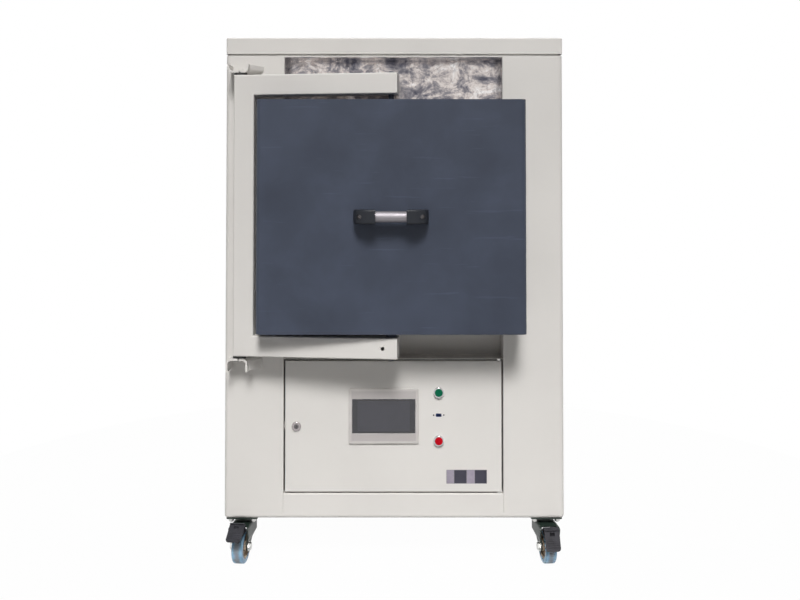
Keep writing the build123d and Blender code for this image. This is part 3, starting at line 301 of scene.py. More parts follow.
# %% [markdown]
# ## Linings and ceramics
# The chamber is built from vacuum-formed fibre board: chalky, almost white, with a felted surface that
# takes dents and scorches. The hearth is a silicon carbide tile, dark grey with a sparkle of grit. The
# heating elements carry a skin of glass, and their terminals are held in pressed ceramic clamps.


# %% Fibre board, hearth tile, elements
def fibre_board(name):
    """Felted ceramic fibre."""
    made, tree, sockets = finish(name, Roughness=0.95)
    wide = noise(tree, 6.0, detail=4.0)
    base = ramp(tree, wide, [(0.3, (0.76, 0.71, 0.62)), (0.7, (0.87, 0.84, 0.78))])
    fleck = ramp(tree, noise(tree, 350.0, detail=2.0), [(0.62, 0.0), (0.74, 0.5)])
    tree.links.new(mix(tree, fleck, base, (0.60, 0.53, 0.43)), sockets["Base Color"])
    felt = bump(tree, noise(tree, 260.0, detail=5.0, roughness=0.7), 0.0008, 0.8)
    dents = bump(tree, noise(tree, 18.0, detail=2.0), 0.003, 0.4, before=felt)
    tree.links.new(dents, sockets["Normal"])
    return made


def gritty(name, dark, light, grain, rough, depth=0.0003, metallic=0.0):
    """A hard, grainy body such as fired ceramic, carbide or cast iron."""
    made, tree, sockets = finish(name, Metallic=metallic)
    grit = noise(tree, grain, detail=6.0, roughness=0.7)
    tree.links.new(ramp(tree, grit, [(0.35, dark), (0.68, light)]), sockets["Base Color"])
    tree.links.new(ramp(tree, grit, [(0.3, rough + 0.1), (0.8, rough - 0.1)]), sockets["Roughness"])
    tree.links.new(bump(tree, grit, depth, 0.6), sockets["Normal"])
    return made


linings = {
    "fibre_board": fibre_board("fibre_board"),
    "silicon_carbide": gritty("silicon_carbide", (0.045, 0.05, 0.05), (0.17, 0.18, 0.18), 240.0, 0.55),
    "element": gritty("glazed_element", (0.05, 0.05, 0.055), (0.15, 0.14, 0.14), 80.0, 0.30, 0.00008),
    "white_ceramic": gritty("pressed_ceramic", (0.72, 0.69, 0.62), (0.86, 0.84, 0.79), 160.0, 0.6),
    "transformer_iron": gritty("varnished_iron", (0.05, 0.022, 0.012), (0.13, 0.06, 0.03), 70.0, 0.45),
}
print("linings:", list(linings))

# %% [markdown]
# ## Plastics
# Moulded plastic is recognised by its skin: a fine texture for grips and housings, a gloss for button
# caps. The cap of a push button is tinted through, so light spreads a little inside it.


# %% Moulded plastics
def moulded(name, colour, rough, texture=0.0001, grain=700.0, cloud=0.06, subsurface=0.0, sheen=0.5):
    """A moulded plastic part."""
    made, tree, sockets = finish(
        name, IOR=1.5, Specular_IOR_Level=sheen, Subsurface_Weight=subsurface, Subsurface_Scale=0.002
    )
    shades = noise(tree, 40.0, detail=3.0)
    base = ramp(tree, shades, [(0.3, tinted(colour, 1 - cloud)), (0.7, tinted(colour, 1 + cloud))])
    tree.links.new(base, sockets["Base Color"])
    tree.links.new(ramp(tree, shades, [(0.3, rough), (0.8, rough + 0.08)]), sockets["Roughness"])
    tree.links.new(bump(tree, noise(tree, grain, detail=2.0), texture, 0.5), sockets["Normal"])
    return made


button_cap = {"rough": 0.5, "texture": 0.00002, "subsurface": 0.1, "sheen": 0.12}
plastics = {
    "black_plastic": moulded("black_moulding", (0.010, 0.012, 0.017), 0.45, sheen=0.3),
    "controller_black": moulded("black_housing", (0.022, 0.022, 0.025), 0.5),
    "switchgear_grey": moulded("switchgear_grey", (0.36, 0.37, 0.38), 0.5),
    "gland_nylon": moulded("nylon_black", (0.02, 0.02, 0.02), 0.45),
    "green_plastic": moulded("green_button_cap", (0.001, 0.115, 0.055), **button_cap),
    "red_plastic": moulded("red_button_cap", (0.45, 0.001, 0.010), **button_cap),
    "usb_blue": moulded("socket_blue", (0.012, 0.03, 0.12), 0.35),
    "hub_beige": moulded("hub_beige", (0.47, 0.38, 0.29), 0.55, cloud=0.22),
}
print("plastics:", list(plastics))

# %% [markdown]
# ## Painting the CAD nodes
# Every node of the frame names a slot, so one loop paints all of them. Where a piece needs its own
# pattern, such as the tyres and the touch screen, its material is made further down and put on there.

# %% Put the finishes on the nodes
finishes = {**paints, **metals, **linings, **plastics}


def wear(name, material):
    """Puts one material on a CAD node."""
    slots = nodes[name].data.materials
    slots.clear()
    slots.append(material)


painted = [name for name in nodes if slot_of[name] in finishes]
for name in painted:
    wear(name, finishes[slot_of[name]])
# The lock's core and the handle's screws take the dark nickel, whose darkness is painted reflection.
wear("lock_core", metals["lock_nickel"])
wear("lock_housing", metals["lock_ring"])
wear("hinge_pins", paints["paint_white"])
wear("handle_screws", metals["lock_nickel"])
print("painted", len(painted), "nodes, left:", sorted(set(nodes) - set(painted)))

# %% [markdown]
# ## Touch screen
# The control panel is one moulded frame with a dark touch glass in it. Above and below the glass the
# frame has a sunken strip, drawn darker and left plain here. Under the glass the sleeping display shows
# as a slightly lighter field, so the glass gets its pattern from the object's own coordinates: inside
# the active area it is a shade lighter than in the black border.

# %% Screen frame and glass
MM = 0.001
SCREEN = Vector((-31.0, 0.0, 434.0)) * MM  # middle of the screen, seen from the front
ACTIVE = (154.0 * MM, 88.0 * MM)


def inside_field(tree, centre, size, edge=0.0006):
    """1 inside an upright rectangle of that size, 0 outside, in the XZ plane."""
    where = add(tree, "ShaderNodeSeparateXYZ", {0: place_of(tree)}).outputs
    share = None
    for axis, middle, width in ((0, centre.x, size[0]), (2, centre.z, size[1])):
        off = sums(tree, "ABSOLUTE", sums(tree, "SUBTRACT", where[axis], middle))
        within = sums(tree, "DIVIDE", sums(tree, "SUBTRACT", width / 2, off), edge, clamp=True)
        share = within if share is None else sums(tree, "MULTIPLY", share, within)
    return share


def screen_frame(name):
    """Pale moulded frame, darker in the sunken strips round the glass."""
    made, tree, sockets = finish(name, IOR=1.5, Roughness=0.42)
    strips = inside_field(tree, SCREEN, (190 * MM, 146 * MM))
    cloud = ramp(tree, noise(tree, 30.0), [(0.3, (0.50, 0.475, 0.46)), (0.7, (0.54, 0.52, 0.505))])
    tree.links.new(mix(tree, strips, cloud, (0.43, 0.405, 0.40)), sockets["Base Color"])
    tree.links.new(bump(tree, noise(tree, 800.0), 0.00006, 0.5), sockets["Normal"])
    return made


def touch_glass(name):
    """Sleeping display under glass."""
    made, tree, sockets = finish(name, IOR=1.52, Coat_Weight=0.6, Coat_Roughness=0.05)
    lit = inside_field(tree, SCREEN, ACTIVE)
    smear = ramp(tree, noise(tree, 14.0, detail=4.0, distortion=1.2), [(0.35, 0.0), (0.8, 0.25)])
    field = mix(tree, smear, (0.026, 0.026, 0.036), (0.046, 0.046, 0.060))
    tree.links.new(mix(tree, lit, (0.016, 0.016, 0.021), field), sockets["Base Color"])
    tree.links.new(ramp(tree, smear, [(0.0, 0.12), (0.3, 0.28)]), sockets["Roughness"])
    return made


wear("screen_housing", screen_frame("screen_frame"))
wear("screen_glass", touch_glass("touch_glass"))

# %% [markdown]
# ## Tyres
# The castors run on soft light-blue polyurethane. Each wheel has its own heading, so each tyre gets its
# own material whose pattern is turned with it: the middle of the tread is worn grey by the floor, the
# shoulders stay blue. The pattern is measured from the wheel's centre along its axle.

# %% Blue treads
castor_names = ("front_left", "front_right", "rear_left", "rear_right")


def middle_of(name):
    """Middle of a CAD node's box."""
    low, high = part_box(name)
    return (low + high) / 2


def joint_of(name):
    """A joint of the frame, with its place and its axis."""
    return next(joint for joint in frame["joints"] if joint["name"] == name)


def axle_of(name):
    """Unit vector along a wheel's axle, from the joint that it rolls on."""
    return Vector(joint_of(f"wheel_{name}_roll")["axis"])


def tread(name, corner):
    """Blue polyurethane with a dirty middle."""
    made, tree, sockets = finish(name, IOR=1.5, Subsurface_Weight=0.08, Subsurface_Scale=0.003)
    axle = axle_of(corner)
    turn = axle.to_2d().angle_signed(Vector((0, 1)))
    own = place_of(tree, centre=tuple(middle_of(f"tyre_{corner}")), turn=turn)
    along = add(tree, "ShaderNodeSeparateXYZ", {0: own}).outputs[1]
    off = sums(tree, "ABSOLUTE", along)
    ragged = sums(tree, "MULTIPLY", noise(tree, 60.0, detail=4.0), 0.009)
    wide = sums(tree, "ADD", off, ragged)
    dirt = ramp(tree, sums(tree, "DIVIDE", wide, 0.016), [(0.50, 0.8), (0.95, 0.05)])
    blues = ramp(
        tree, noise(tree, 50.0, detail=4.0), [(0.3, (0.20, 0.38, 0.57)), (0.7, (0.31, 0.53, 0.72))]
    )
    tree.links.new(mix(tree, dirt, blues, (0.27, 0.26, 0.26)), sockets["Base Color"])
    tree.links.new(ramp(tree, dirt, [(0.0, 0.36), (0.8, 0.75)]), sockets["Roughness"])
    tree.links.new(bump(tree, noise(tree, 220.0, detail=4.0), 0.0002, 0.5), sockets["Normal"])
    return made


for corner in castor_names:
    wear(f"tyre_{corner}", tread(f"blue_tread_{corner}", corner))
print("treads:", castor_names)

# %% [markdown]
# ## Geometry Nodes: a small kit for parts that repeat
# Screws, bolts and ribs could be modelled one by one, but a rule is shorter and stays editable. Each
# tree below is built in the script with named sizes. The helper runs a tree on an empty mesh, turns the
# result into a plain mesh in its place, and hands it to the body that it moves with.


# %% Building and running a Geometry Nodes tree
class Tree:
    """A Geometry Nodes group under construction."""

    def __init__(self, name, **sizes):
        self.group = bpy.data.node_groups.new(name, "GeometryNodeTree")
        face = self.group.interface
        face.new_socket("Geometry", in_out="OUTPUT", socket_type="NodeSocketGeometry")
        for key, value in sizes.items():
            kind = "NodeSocketInt" if isinstance(value, int) else "NodeSocketFloat"
            face.new_socket(key, in_out="INPUT", socket_type=kind).default_value = value
        face.new_socket("Finish", in_out="INPUT", socket_type="NodeSocketMaterial")
        self.source = self.group.nodes.new("NodeGroupInput").outputs

    def add(self, kind, sockets=None, **settings):
        """A node of the group; see add()."""
        return add(self.group, kind, sockets, **settings)

    def move(self, geometry, x=0.0, y=0.0, z=0.0, turn=(0, 0, 0)):
        """Geometry moved by x, y and z, which may be sockets."""
        offset = self.add("ShaderNodeCombineXYZ", {0: x, 1: y, 2: z}).outputs[0]
        sockets = {"Geometry": geometry, "Translation": offset, "Rotation": turn}
        return self.add("GeometryNodeTransform", sockets).outputs[0]

    def join(self, *parts):
        """Several geometries as one."""
        made = self.add("GeometryNodeJoinGeometry")
        for part in parts:
            self.group.links.new(part, made.inputs[0])
        return made.outputs[0]

    def math(self, operation, a, b=0.0):
        """Arithmetic on sizes."""
        return self.add("ShaderNodeMath", {0: a, 1: b}, operation=operation).outputs[0]

    def spread(self, points, piece):
        """The piece on every point."""
        sockets = {"Points": points, "Instance": piece}
        return self.add("GeometryNodeInstanceOnPoints", sockets).outputs[0]

    def end(self, geometry):
        """Realize Instances and Set Material close every tree."""
        real = self.add("GeometryNodeRealizeInstances", {"Geometry": geometry}).outputs[0]
        sockets = {"Geometry": real, "Material": self.source["Finish"]}
        last = self.add("GeometryNodeSetMaterial", sockets).outputs[0]
        out = self.group.nodes.new("NodeGroupOutput")
        self.group.links.new(last, out.inputs[0])
        return self.group


def grow(name, group, finish_with, matrix=None, smooth_below=40, **sizes):
    """Runs a tree with these sizes and returns the result as a plain mesh object in its place."""
    blank = bpy.data.objects.new(name + "_blank", bpy.data.meshes.new(name + "_blank"))
    bpy.context.scene.collection.objects.link(blank)
    modifier = blank.modifiers.new("nodes", "NODES")
    modifier.node_group = group
    wanted = {**sizes, "Finish": finish_with}
    for item in group.interface.items_tree:
        if item.in_out == "INPUT" and item.name in wanted:
            modifier[item.identifier] = wanted[item.name]
    evaluated = blank.evaluated_get(bpy.context.evaluated_depsgraph_get())
    mesh = bpy.data.meshes.new_from_object(evaluated)
    bpy.data.objects.remove(blank)
    mesh.name = name
    if matrix is not None:
        mesh.transform(matrix)
    mesh.shade_smooth()
    mesh.set_sharp_from_angle(angle=radians(smooth_below))
    made = bpy.data.objects.new(name, mesh)
    bpy.context.scene.collection.objects.link(made)
    return made


def hand_over(piece, body):
    """The piece rides on a body."""
    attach(piece, body)
    print(piece.name, "faces:", len(piece.data.polygons), "on", body)
    return piece


print("kit ready")

# %% [markdown]
# ## Axle bolts
# Each castor's wheel turns on a bolt whose bright hexagon ends stand outside the dark fork. A hexagon
# head is a six-sided cylinder whose outer edge is turned off. It could be cut with a cone, but a cut is
# slow and can come out differently, so the tree draws the cylinder's last ring of points in a little. A
# washer sits under it. The two ends of one axle are the same piece, turned round.

# %% Hexagon bolt ends on the castors' axles
axle_end = Tree("axle_end", Radius=0.0115, Height=0.007, Washer=0.0140, Thickness=0.0015, Spacing=0.0452)
size = axle_end.source
hexagon = axle_end.add(
    "GeometryNodeMeshCylinder",
    {"Vertices": 6, "Side Segments": 4, "Radius": size["Radius"], "Depth": size["Height"]},
).outputs["Mesh"]
where = axle_end.add("GeometryNodeInputPosition").outputs[0]
up = axle_end.add("ShaderNodeSeparateXYZ", {0: where}).outputs[2]
limit = axle_end.math("MULTIPLY", size["Height"], 0.4)
last_ring = axle_end.add("FunctionNodeCompare", {0: up, 1: limit}, operation="GREATER_THAN").outputs[0]
drawn_in = axle_end.add("ShaderNodeVectorMath", {0: where, 1: (0.88, 0.88, 1.0)}, operation="MULTIPLY")
chamfered = axle_end.add(
    "GeometryNodeSetPosition",
    {"Geometry": hexagon, "Selection": last_ring, "Position": drawn_in.outputs[0]},
).outputs[0]
washer = axle_end.add(
    "GeometryNodeMeshCylinder", {"Vertices": 32, "Radius": size["Washer"], "Depth": size["Thickness"]}
).outputs["Mesh"]
seat = axle_end.math("ADD", axle_end.math("MULTIPLY", size["Height"], 0.5), size["Thickness"])
head = axle_end.move(chamfered, z=seat)
stack = axle_end.join(head, axle_end.move(washer, z=axle_end.math("MULTIPLY", size["Thickness"], 0.5)))
outward = axle_end.move(stack, z=axle_end.math("MULTIPLY", size["Spacing"], 0.5))
inward = axle_end.add(
    "GeometryNodeTransform", {"Geometry": outward, "Rotation": (radians(180), 0, 0)}
).outputs[0]
axle_group = axle_end.end(axle_end.join(outward, inward))


def on_axle(corner):
    """Matrix that lays a piece's Z along a wheel's axle, at its centre."""
    axle = axle_of(corner)
    return Matrix.Translation(middle_of(f"hub_{corner}")) @ axle.to_track_quat("Z", "Y").to_matrix().to_4x4()


for corner in castor_names:
    bolt = grow(f"axle_bolt_{corner}", axle_group, metals["zinc"], on_axle(corner), smooth_below=25)
    hand_over(bolt, f"swivel_{corner}")

# %% [markdown]
# ## Nuts under the castors' plates
# Each castor hangs on four bolts, and under the corners of its plate the bright nuts and the ends of the
# bolts stand out against the dark fork. One nut and one bolt end are set on the four points of a grid.

# %% Nuts and bolt ends at the plates' corners
BOLT_HEAD = 0.004  # the CAD's bolt head, which the nut covers
NUT_HEIGHT = 0.0085
under = Tree("plate_nuts", Spacing=0.066, Radius=0.0080, Height=NUT_HEIGHT, Shank=0.0042, Drop=0.0025)
size = under.source
corners = under.add(
    "GeometryNodeMeshGrid",
    {"Size X": size["Spacing"], "Size Y": size["Spacing"], "Vertices X": 2, "Vertices Y": 2},
).outputs[0]
nut = under.add(
    "GeometryNodeMeshCylinder", {"Vertices": 6, "Radius": size["Radius"], "Depth": size["Height"]}
).outputs["Mesh"]
tip = under.add(
    "GeometryNodeMeshCylinder", {"Vertices": 24, "Radius": size["Shank"], "Depth": size["Drop"]}
).outputs["Mesh"]
tip_z = under.math("MULTIPLY", under.math("ADD", size["Height"], size["Drop"]), -0.5)
under_group = under.end(under.spread(corners, under.join(nut, under.move(tip, z=tip_z))))
nut_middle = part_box("castor_bolts")[0].z + BOLT_HEAD - NUT_HEIGHT / 2
for corner in castor_names:
    x, y, _ = joint_of(f"swivel_{corner}_turn")["pos_m"]
    place = Matrix.Translation((x, y, nut_middle))
    piece = grow(f"castor_nuts_{corner}", under_group, metals["zinc"], place, smooth_below=25)
    hand_over(piece, "cabinet")

# %% [markdown]
# ## Treads of the brake pedals
# A brake pedal is pressed with a shoe, so the lower half of its tread carries ribs. They are a row of
# thin round bars laid across the plate: a line of points with a short lying cylinder on each. The
# pedals are greyer than the other black plastic, because dust sits in their rough skin. The left one is
# drawn darker than the right: painted shade and light, as the raised and the lowered pedal are lit differently.

# %% Ribs across the pedals
# The left pedal's darker tone and the right's lighter one are painted shade and light for how each pedal is lit.
pedal_lit_and_shaded_skins = {
    side: moulded(f"pedal_dust_and_painted_light_{side}", tone_with_painted_light, 0.6, texture=0.0003, grain=400.0, cloud=0.4, sheen=0.3)
    for side, tone_with_painted_light in (("left", (0.022, 0.022, 0.028)), ("right", (0.030, 0.029, 0.035)))
}
for side, skin in pedal_lit_and_shaded_skins.items():
    wear(f"pedal_{side}", skin)
ribs = Tree("tread_ribs", Count=4, Pitch=0.0062, Radius=0.0011, Length=0.034)
size = ribs.source
line = ribs.add(
    "GeometryNodeMeshLine",
    {"Count": size["Count"], "Offset": ribs.add("ShaderNodeCombineXYZ", {2: size["Pitch"]}).outputs[0]},
).outputs[0]
bar = ribs.add(
    "GeometryNodeMeshCylinder", {"Vertices": 10, "Radius": size["Radius"], "Depth": size["Length"]}
).outputs["Mesh"]
bar = ribs.move(bar, turn=(radians(90), 0, 0))
ribs_group = ribs.end(ribs.spread(line, bar))
print("nodes in the rib tree:", len(ribs_group.nodes))
# A lowered pedal, seen from its swivel's axis and the floor: both ends of the outer face, and the hinge.
TREAD_TOP = Vector((82.8, 0.0, 112.1)) * MM
TREAD_TIP = Vector((103.8, 0.0, 57.1)) * MM
HINGE = Vector((57.0, 0.0, 103.0)) * MM
fall = TREAD_TIP - TREAD_TOP
lay = Matrix.Translation(TREAD_TOP + 0.5 * fall) @ Matrix.Rotation(atan2(fall.x, fall.z), 4, "Y")
for side, corner, lift in (("left", "front_left", 35.0), ("right", "front_right", 0.0)):
    hinge_axis = Vector(joint_of(f"pedal_{side}_press")["axis"])
    up = Vector((0, 0, 1))
    heading = Matrix((hinge_axis.cross(up), hinge_axis, up)).transposed().to_4x4()
    x, y, _ = joint_of(f"swivel_{corner}_turn")["pos_m"]
    own = Matrix.Translation((x, y, 0)) @ heading
    raised = Matrix.Translation(HINGE) @ Matrix.Rotation(-radians(lift), 4, "Y") @ Matrix.Translation(-HINGE)
    piece = grow(f"pedal_ribs_{side}", ribs_group, pedal_lit_and_shaded_skins[side], own @ raised @ lay)
    hand_over(piece, f"pedal_{side}")

# %% [markdown]
# ## Rows of screws
# The rear cover is held by pan-head screws along its four sides. A rectangle of curve is resampled to
# evenly spaced points, and a screw stands on each: a low dome from a flattened sphere with a cross slot
# cut into it. The same tree, with other sizes, makes the two tiny screws beside the data socket.

# %% Pan-head screws on a rectangle
screws = Tree("screws_on_rectangle", Width=0.9, Height=1.2, Count=16, Radius=0.0045, Proud=0.0022)
size = screws.source
outline = screws.add(
    "GeometryNodeCurvePrimitiveQuadrilateral", {"Width": size["Width"], "Height": size["Height"]}
).outputs[0]
points = screws.add("GeometryNodeCurveToPoints", {"Curve": outline, "Count": size["Count"]}).outputs[0]
ball = screws.add(
    "GeometryNodeMeshUVSphere", {"Segments": 20, "Rings": 10, "Radius": size["Radius"]}
).outputs["Mesh"]
squash = screws.add(
    "ShaderNodeCombineXYZ", {0: 1.0, 1: 1.0, 2: screws.math("DIVIDE", size["Proud"], size["Radius"])}
).outputs[0]
dome = screws.add("GeometryNodeTransform", {"Geometry": ball, "Scale": squash}).outputs[0]
arm = screws.add(
    "ShaderNodeCombineXYZ",
    {
        0: screws.math("MULTIPLY", size["Radius"], 1.1),
        1: screws.math("MULTIPLY", size["Radius"], 0.26),
        2: size["Proud"],
    },
).outputs[0]
bar = screws.add("GeometryNodeMeshCube", {"Size": arm}).outputs["Mesh"]
bar = screws.move(bar, z=size["Proud"])
other = screws.add("GeometryNodeTransform", {"Geometry": bar, "Rotation": (0, 0, radians(90))}).outputs[0]
slotted = screws.add("GeometryNodeMeshBoolean", {"Mesh 1": dome}, operation="DIFFERENCE")
screws.group.links.new(bar, slotted.inputs["Mesh 2"])
screws.group.links.new(other, slotted.inputs["Mesh 2"])
screws_group = screws.end(screws.spread(points, slotted.outputs[0]))

back_low, back_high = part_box("rear_cover")
COVER_SHEET = 0.0015
SCREW_EDGE = 0.012  # from the cover's edge to the screws
back_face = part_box("left_side_panel")[1].y + COVER_SHEET
cover_middle = (back_low + back_high) / 2
to_back = Matrix.Rotation(radians(-90), 4, "X")
on_back = Matrix.Translation((cover_middle.x, back_face, cover_middle.z)) @ to_back
piece = grow(
    "rear_cover_screws",
    screws_group,
    metals["zinc"],
    on_back,
    Width=back_high.x - back_low.x - 2 * SCREW_EDGE,
    Height=back_high.z - back_low.z - 2 * SCREW_EDGE,
    Count=22,
)
hand_over(piece, "cabinet")

# %% Screws of the data socket
socket_low, socket_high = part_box("usb_port")
front_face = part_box("control_door")[0].y
socket_middle = (socket_low + socket_high) / 2
to_front = Matrix.Rotation(radians(90), 4, "X")
at_socket = Matrix.Translation((socket_middle.x, front_face, socket_middle.z)) @ to_front
piece = grow(
    "socket_screws",
    screws_group,
    metals["black_screw"],
    at_socket,
    Width=0.030,
    Height=0.00001,
    Count=2,
    Radius=0.0022,
    Proud=0.0009,
)
hand_over(piece, "control_door")

# %% [markdown]
# ## A bare plate
# Machines of this kind carry a small printed plate low on the control door. Here it stays blank: a thin
# plate with four plain fields, two grey and two dark, pressed in a little. Mesh code lays one quad per
# field, draws the rim back to make the edge, and insets each quad so that a narrow border is left.

# %% Blank plate on the control door
PLATE = Vector((213.0, 0.0, 256.0)) * MM
PLATE_SIZE = Vector((119.0, 1.0, 40.0)) * MM
FIELDS = (0.19, 0.31, 0.20, 0.30)  # shares of the width, grey and dark in turn


def pressed_plate(name, middle, size, shares):
    """A thin plate with pressed-in fields that use its second and third material in turn."""
    shape = bmesh.new()
    ruler = [sum(shares[:i]) for i in range(len(shares) + 1)]
    x = [middle.x + (share - 0.5) * size.x for share in ruler]
    z = [middle.z - size.z / 2, middle.z + size.z / 2]
    front = middle.y - size.y
    rows = [[shape.verts.new((px, front, pz)) for px in x] for pz in z]
    fields = [
        shape.faces.new((rows[0][i], rows[0][i + 1], rows[1][i + 1], rows[1][i]))
        for i in range(len(shares))
    ]
    rim = rows[0] + rows[1][::-1]
    back = [shape.verts.new((vert.co.x, middle.y, vert.co.z)) for vert in rim]
    for i in range(len(rim)):
        shape.faces.new((rim[i - 1], rim[i], back[i], back[i - 1]))
    shape.normal_update()
    bmesh.ops.inset_individual(shape, faces=fields, thickness=0.0009, depth=-0.0003)
    for i, face in enumerate(fields):
        face.material_index = 1 + i % 2
    bmesh.ops.recalc_face_normals(shape, faces=shape.faces)
    mesh = bpy.data.meshes.new(name)
    shape.to_mesh(mesh)
    shape.free()
    made = bpy.data.objects.new(name, mesh)
    bpy.context.scene.collection.objects.link(made)
    return made


plate = pressed_plate("blank_plate", PLATE + Vector((0, front_face, 0)), PLATE_SIZE, FIELDS)
for material in (
    metals["aluminium"],
    moulded("plate_grey", (0.30, 0.27, 0.33), 0.5, texture=0.00003, cloud=0.15),
    moulded("plate_dark", (0.030, 0.028, 0.045), 0.5, texture=0.00003, cloud=0.15),
):
    plate.data.materials.append(material)
hand_over(plate, "control_door")

# %% [markdown]
# ## Washers at the yoke's hinges
# Between each bracket and the yoke sits a thick black washer, a dark piece put into the gap as painted
# shade: the dark there is the shade between bracket and yoke. A ring with a square section is a circle
# swept by a rectangle, so this tree works with curves: the path, the profile, and Curve to Mesh.

# %% Washers on the hinge pins
ring = Tree("washer_ring", Radius=0.0155, Width=0.0115, Thickness=0.0072)
size = ring.source
path = ring.add("GeometryNodeCurvePrimitiveCircle", {"Resolution": 48, "Radius": size["Radius"]}).outputs[0]
section = ring.add(
    "GeometryNodeCurvePrimitiveQuadrilateral", {"Width": size["Thickness"], "Height": size["Width"]}
).outputs[0]
swept = ring.add("GeometryNodeCurveToMesh", {"Curve": path, "Profile Curve": section}).outputs[0]
ring_group = ring.end(swept)
HINGE_GAP = 8.0 * MM
yoke_low, yoke_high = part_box("yoke")
hinge_x, hinge_y, _ = joint_of("yoke_swing")["pos_m"]
# Each washer is black so that the gap reads dark: painted shade.
for name, height in (("upper", yoke_high.z + HINGE_GAP / 2), ("lower", yoke_low.z - HINGE_GAP / 2)):
    place = Matrix.Translation((hinge_x, hinge_y, height))
    piece = grow(f"hinge_washer_{name}", ring_group, plastics["gland_nylon"], place)
    hand_over(piece, "yoke")

# %% [markdown]
# ## Bright liners on the recess's sides
# The mirror runs round the recess behind the door: its two side walls carry a thin bright liner. Each is
# a plain strip of sheet, so a box made from its two corners is enough.

# %% Side liners of the recess
LINER = 0.6 * MM
STAND_OFF = 0.1 * MM  # air between liner and wall
PLATE_LIP = 2.2 * MM  # kept free for the mouth plate's flange and back
mouth_low, mouth_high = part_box("mouth_plate")


def sheet_box(name, low, high):
    """A box between two corners."""
    shape = bmesh.new()
    bmesh.ops.create_cube(shape, size=1.0)
    middle, span = (low + high) / 2, high - low
    for vert in shape.verts:
        vert.co = Vector(middle[i] + vert.co[i] * span[i] for i in range(3))
    mesh = bpy.data.meshes.new(name)
    shape.to_mesh(mesh)
    shape.free()
    made = bpy.data.objects.new(name, mesh)
    bpy.context.scene.collection.objects.link(made)
    return made


# Both liners wear the polished sheet, so its painted dark reflection at the recess's ends covers them.
for name, wall, inward in (("left", mouth_low.x, 1), ("right", mouth_high.x, -1)):
    near, far = sorted((wall + inward * STAND_OFF, wall + inward * (STAND_OFF + LINER)))
    low = Vector((near, mouth_low.y, mouth_low.z))
    high = Vector((far, mouth_high.y - PLATE_LIP, mouth_high.z - PLATE_LIP))
    piece = sheet_box(f"recess_liner_{name}", low, high)
    piece.data.materials.append(metals["stainless"])
    hand_over(piece, "cabinet")

# %% [markdown]
# ## Studio
# The furnace stands on a pale floor in a white studio. A large soft lamp high in front models the door
# and drops the yoke's shadow, a smaller one behind lifts the top and the back, and a weak warm fill
# comes from all sides. The backdrop is white only to the camera, in gloss and through glass. It adds no
# diffuse light, so a matt paint renders about as its colour is written.

# %% Floor and surroundings
FLOOR_HALF = 14.0
SHADOW_REACH = (0.5, 1.8)  # metres from the middle over which the floor turns fully white
FLOOR_WHITE = 0.98  # its whiteness beside the machine


def white_rays(tree):
    """1 for rays that should see a white studio: from the camera, in gloss and through glass."""
    rays = add(tree, "ShaderNodeLightPath").outputs
    seen = sums(tree, "MAXIMUM", rays["Is Camera Ray"], rays["Is Glossy Ray"])
    return sums(tree, "MAXIMUM", seen, rays["Is Transmission Ray"])


def studio_floor():
    """A plain floor that keeps the shadow near the machine and turns white further out."""
    shape = bmesh.new()
    bmesh.ops.create_grid(shape, x_segments=1, y_segments=1, size=FLOOR_HALF)
    mesh = bpy.data.meshes.new("studio_floor")
    shape.to_mesh(mesh)
    shape.free()
    made = bpy.data.objects.new("studio_floor", mesh)
    bpy.context.scene.collection.objects.link(made)
    material = bpy.data.materials.new("pale_floor")
    material.use_nodes = True
    tree = material.node_tree
    tree.nodes.clear()
    matt = add(tree, "ShaderNodeBsdfDiffuse", {"Color": (0.60, 0.60, 0.60, 1)}).outputs[0]
    white = add(tree, "ShaderNodeEmission", {"Color": (1, 1, 1, 1), "Strength": 1.0}).outputs[0]
    reach = add(
        tree, "ShaderNodeVectorMath", {0: place_of(tree, stretch=(1, 1, 0))}, operation="LENGTH"
    ).outputs["Value"]
    sockets = {"Value": reach, "From Min": SHADOW_REACH[0], "From Max": SHADOW_REACH[1]}
    far = add(tree, "ShaderNodeMapRange", sockets).outputs[0]
    lifted = sums(tree, "MAXIMUM", far, FLOOR_WHITE)
    share = sums(tree, "MULTIPLY", lifted, white_rays(tree))
    blend = add(tree, "ShaderNodeMixShader", {0: share, 1: matt, 2: white}).outputs[0]
    out = add(tree, "ShaderNodeOutputMaterial")
    tree.links.new(blend, out.inputs["Surface"])
    made.data.materials.append(material)
    return made


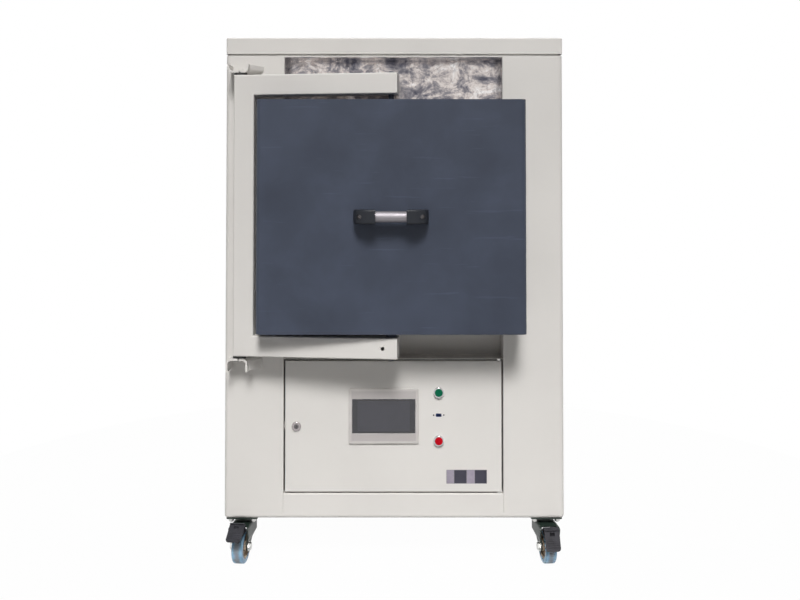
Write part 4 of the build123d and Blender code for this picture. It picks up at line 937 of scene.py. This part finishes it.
studio_floor()
world = bpy.data.worlds.new("studio")
bpy.context.scene.world = world
world.use_nodes = True
tree = world.node_tree
tree.nodes.clear()
AMBIENT = 0.08
fill = add(tree, "ShaderNodeBackground", {"Color": (1.0, 0.965, 0.93, 1), "Strength": AMBIENT}).outputs[0]
seen = add(tree, "ShaderNodeBackground", {"Color": (1, 1, 1, 1), "Strength": 1.0}).outputs[0]
both = add(tree, "ShaderNodeMixShader", {0: white_rays(tree), 1: fill, 2: seen}).outputs[0]
out = add(tree, "ShaderNodeOutputWorld")
tree.links.new(both, out.inputs["Surface"])
print("floor and world ready")


# %% Lamps
def soft_lamp(name, place, aim, width, watts, tint=(1, 1, 1), spread=180):
    """A square softbox that faces a point; a grid in front of it narrows its spread in degrees."""
    data = bpy.data.lights.new(name, "AREA")
    data.shape = "SQUARE"
    data.size = width
    data.energy = watts
    data.color = tint
    data.spread = radians(spread)
    lamp = bpy.data.objects.new(name, data)
    bpy.context.scene.collection.objects.link(lamp)
    lamp.location = place
    lamp.rotation_euler = (Vector(aim) - Vector(place)).to_track_quat("-Z", "Y").to_euler()
    return lamp


soft_lamp(
    "key_lamp",
    place=(0.3, -9.0, 9.0),
    aim=(0, -0.4, -0.15),
    width=5.0,
    watts=90.0,
    tint=(1.0, 0.99, 0.98),
    spread=26,
)
soft_lamp("back_lamp", place=(0.8, 4.2, 3.2), aim=(0, 0.4, 0.8), width=2.2, watts=70.0)
print("lamps ready")

# %% [markdown]
# ## Camera
# The camera stands a little to the right of the middle, at the height of the chamber, about 2.6 metres
# in front. It looks up by barely more than a degree and the frame is shifted down instead, which keeps
# the cabinet's sides almost upright.

# %% Camera
lens_mm = 39.465
eye = Vector((0.017, -3.0127, 1.070))
look_up = radians(1.4)
data = bpy.data.cameras.new("camera")
data.lens = lens_mm
data.sensor_width = 36.0
data.shift_y = -0.152
camera = bpy.data.objects.new("camera", data)
bpy.context.scene.collection.objects.link(camera)
camera.location = eye
camera.rotation_euler = (radians(90) + look_up, 0, 0)
bpy.context.scene.camera = camera
bpy.context.scene.view_settings.view_transform = "Standard"
print("camera at", [round(v, 3) for v in camera.location])

# %% [markdown]
# Dressing must not make the furnace bigger: washers, screws and nuts all stay inside the box of the CAD
# model.

# %% Update the scene and finish
bpy.context.view_layer.update()
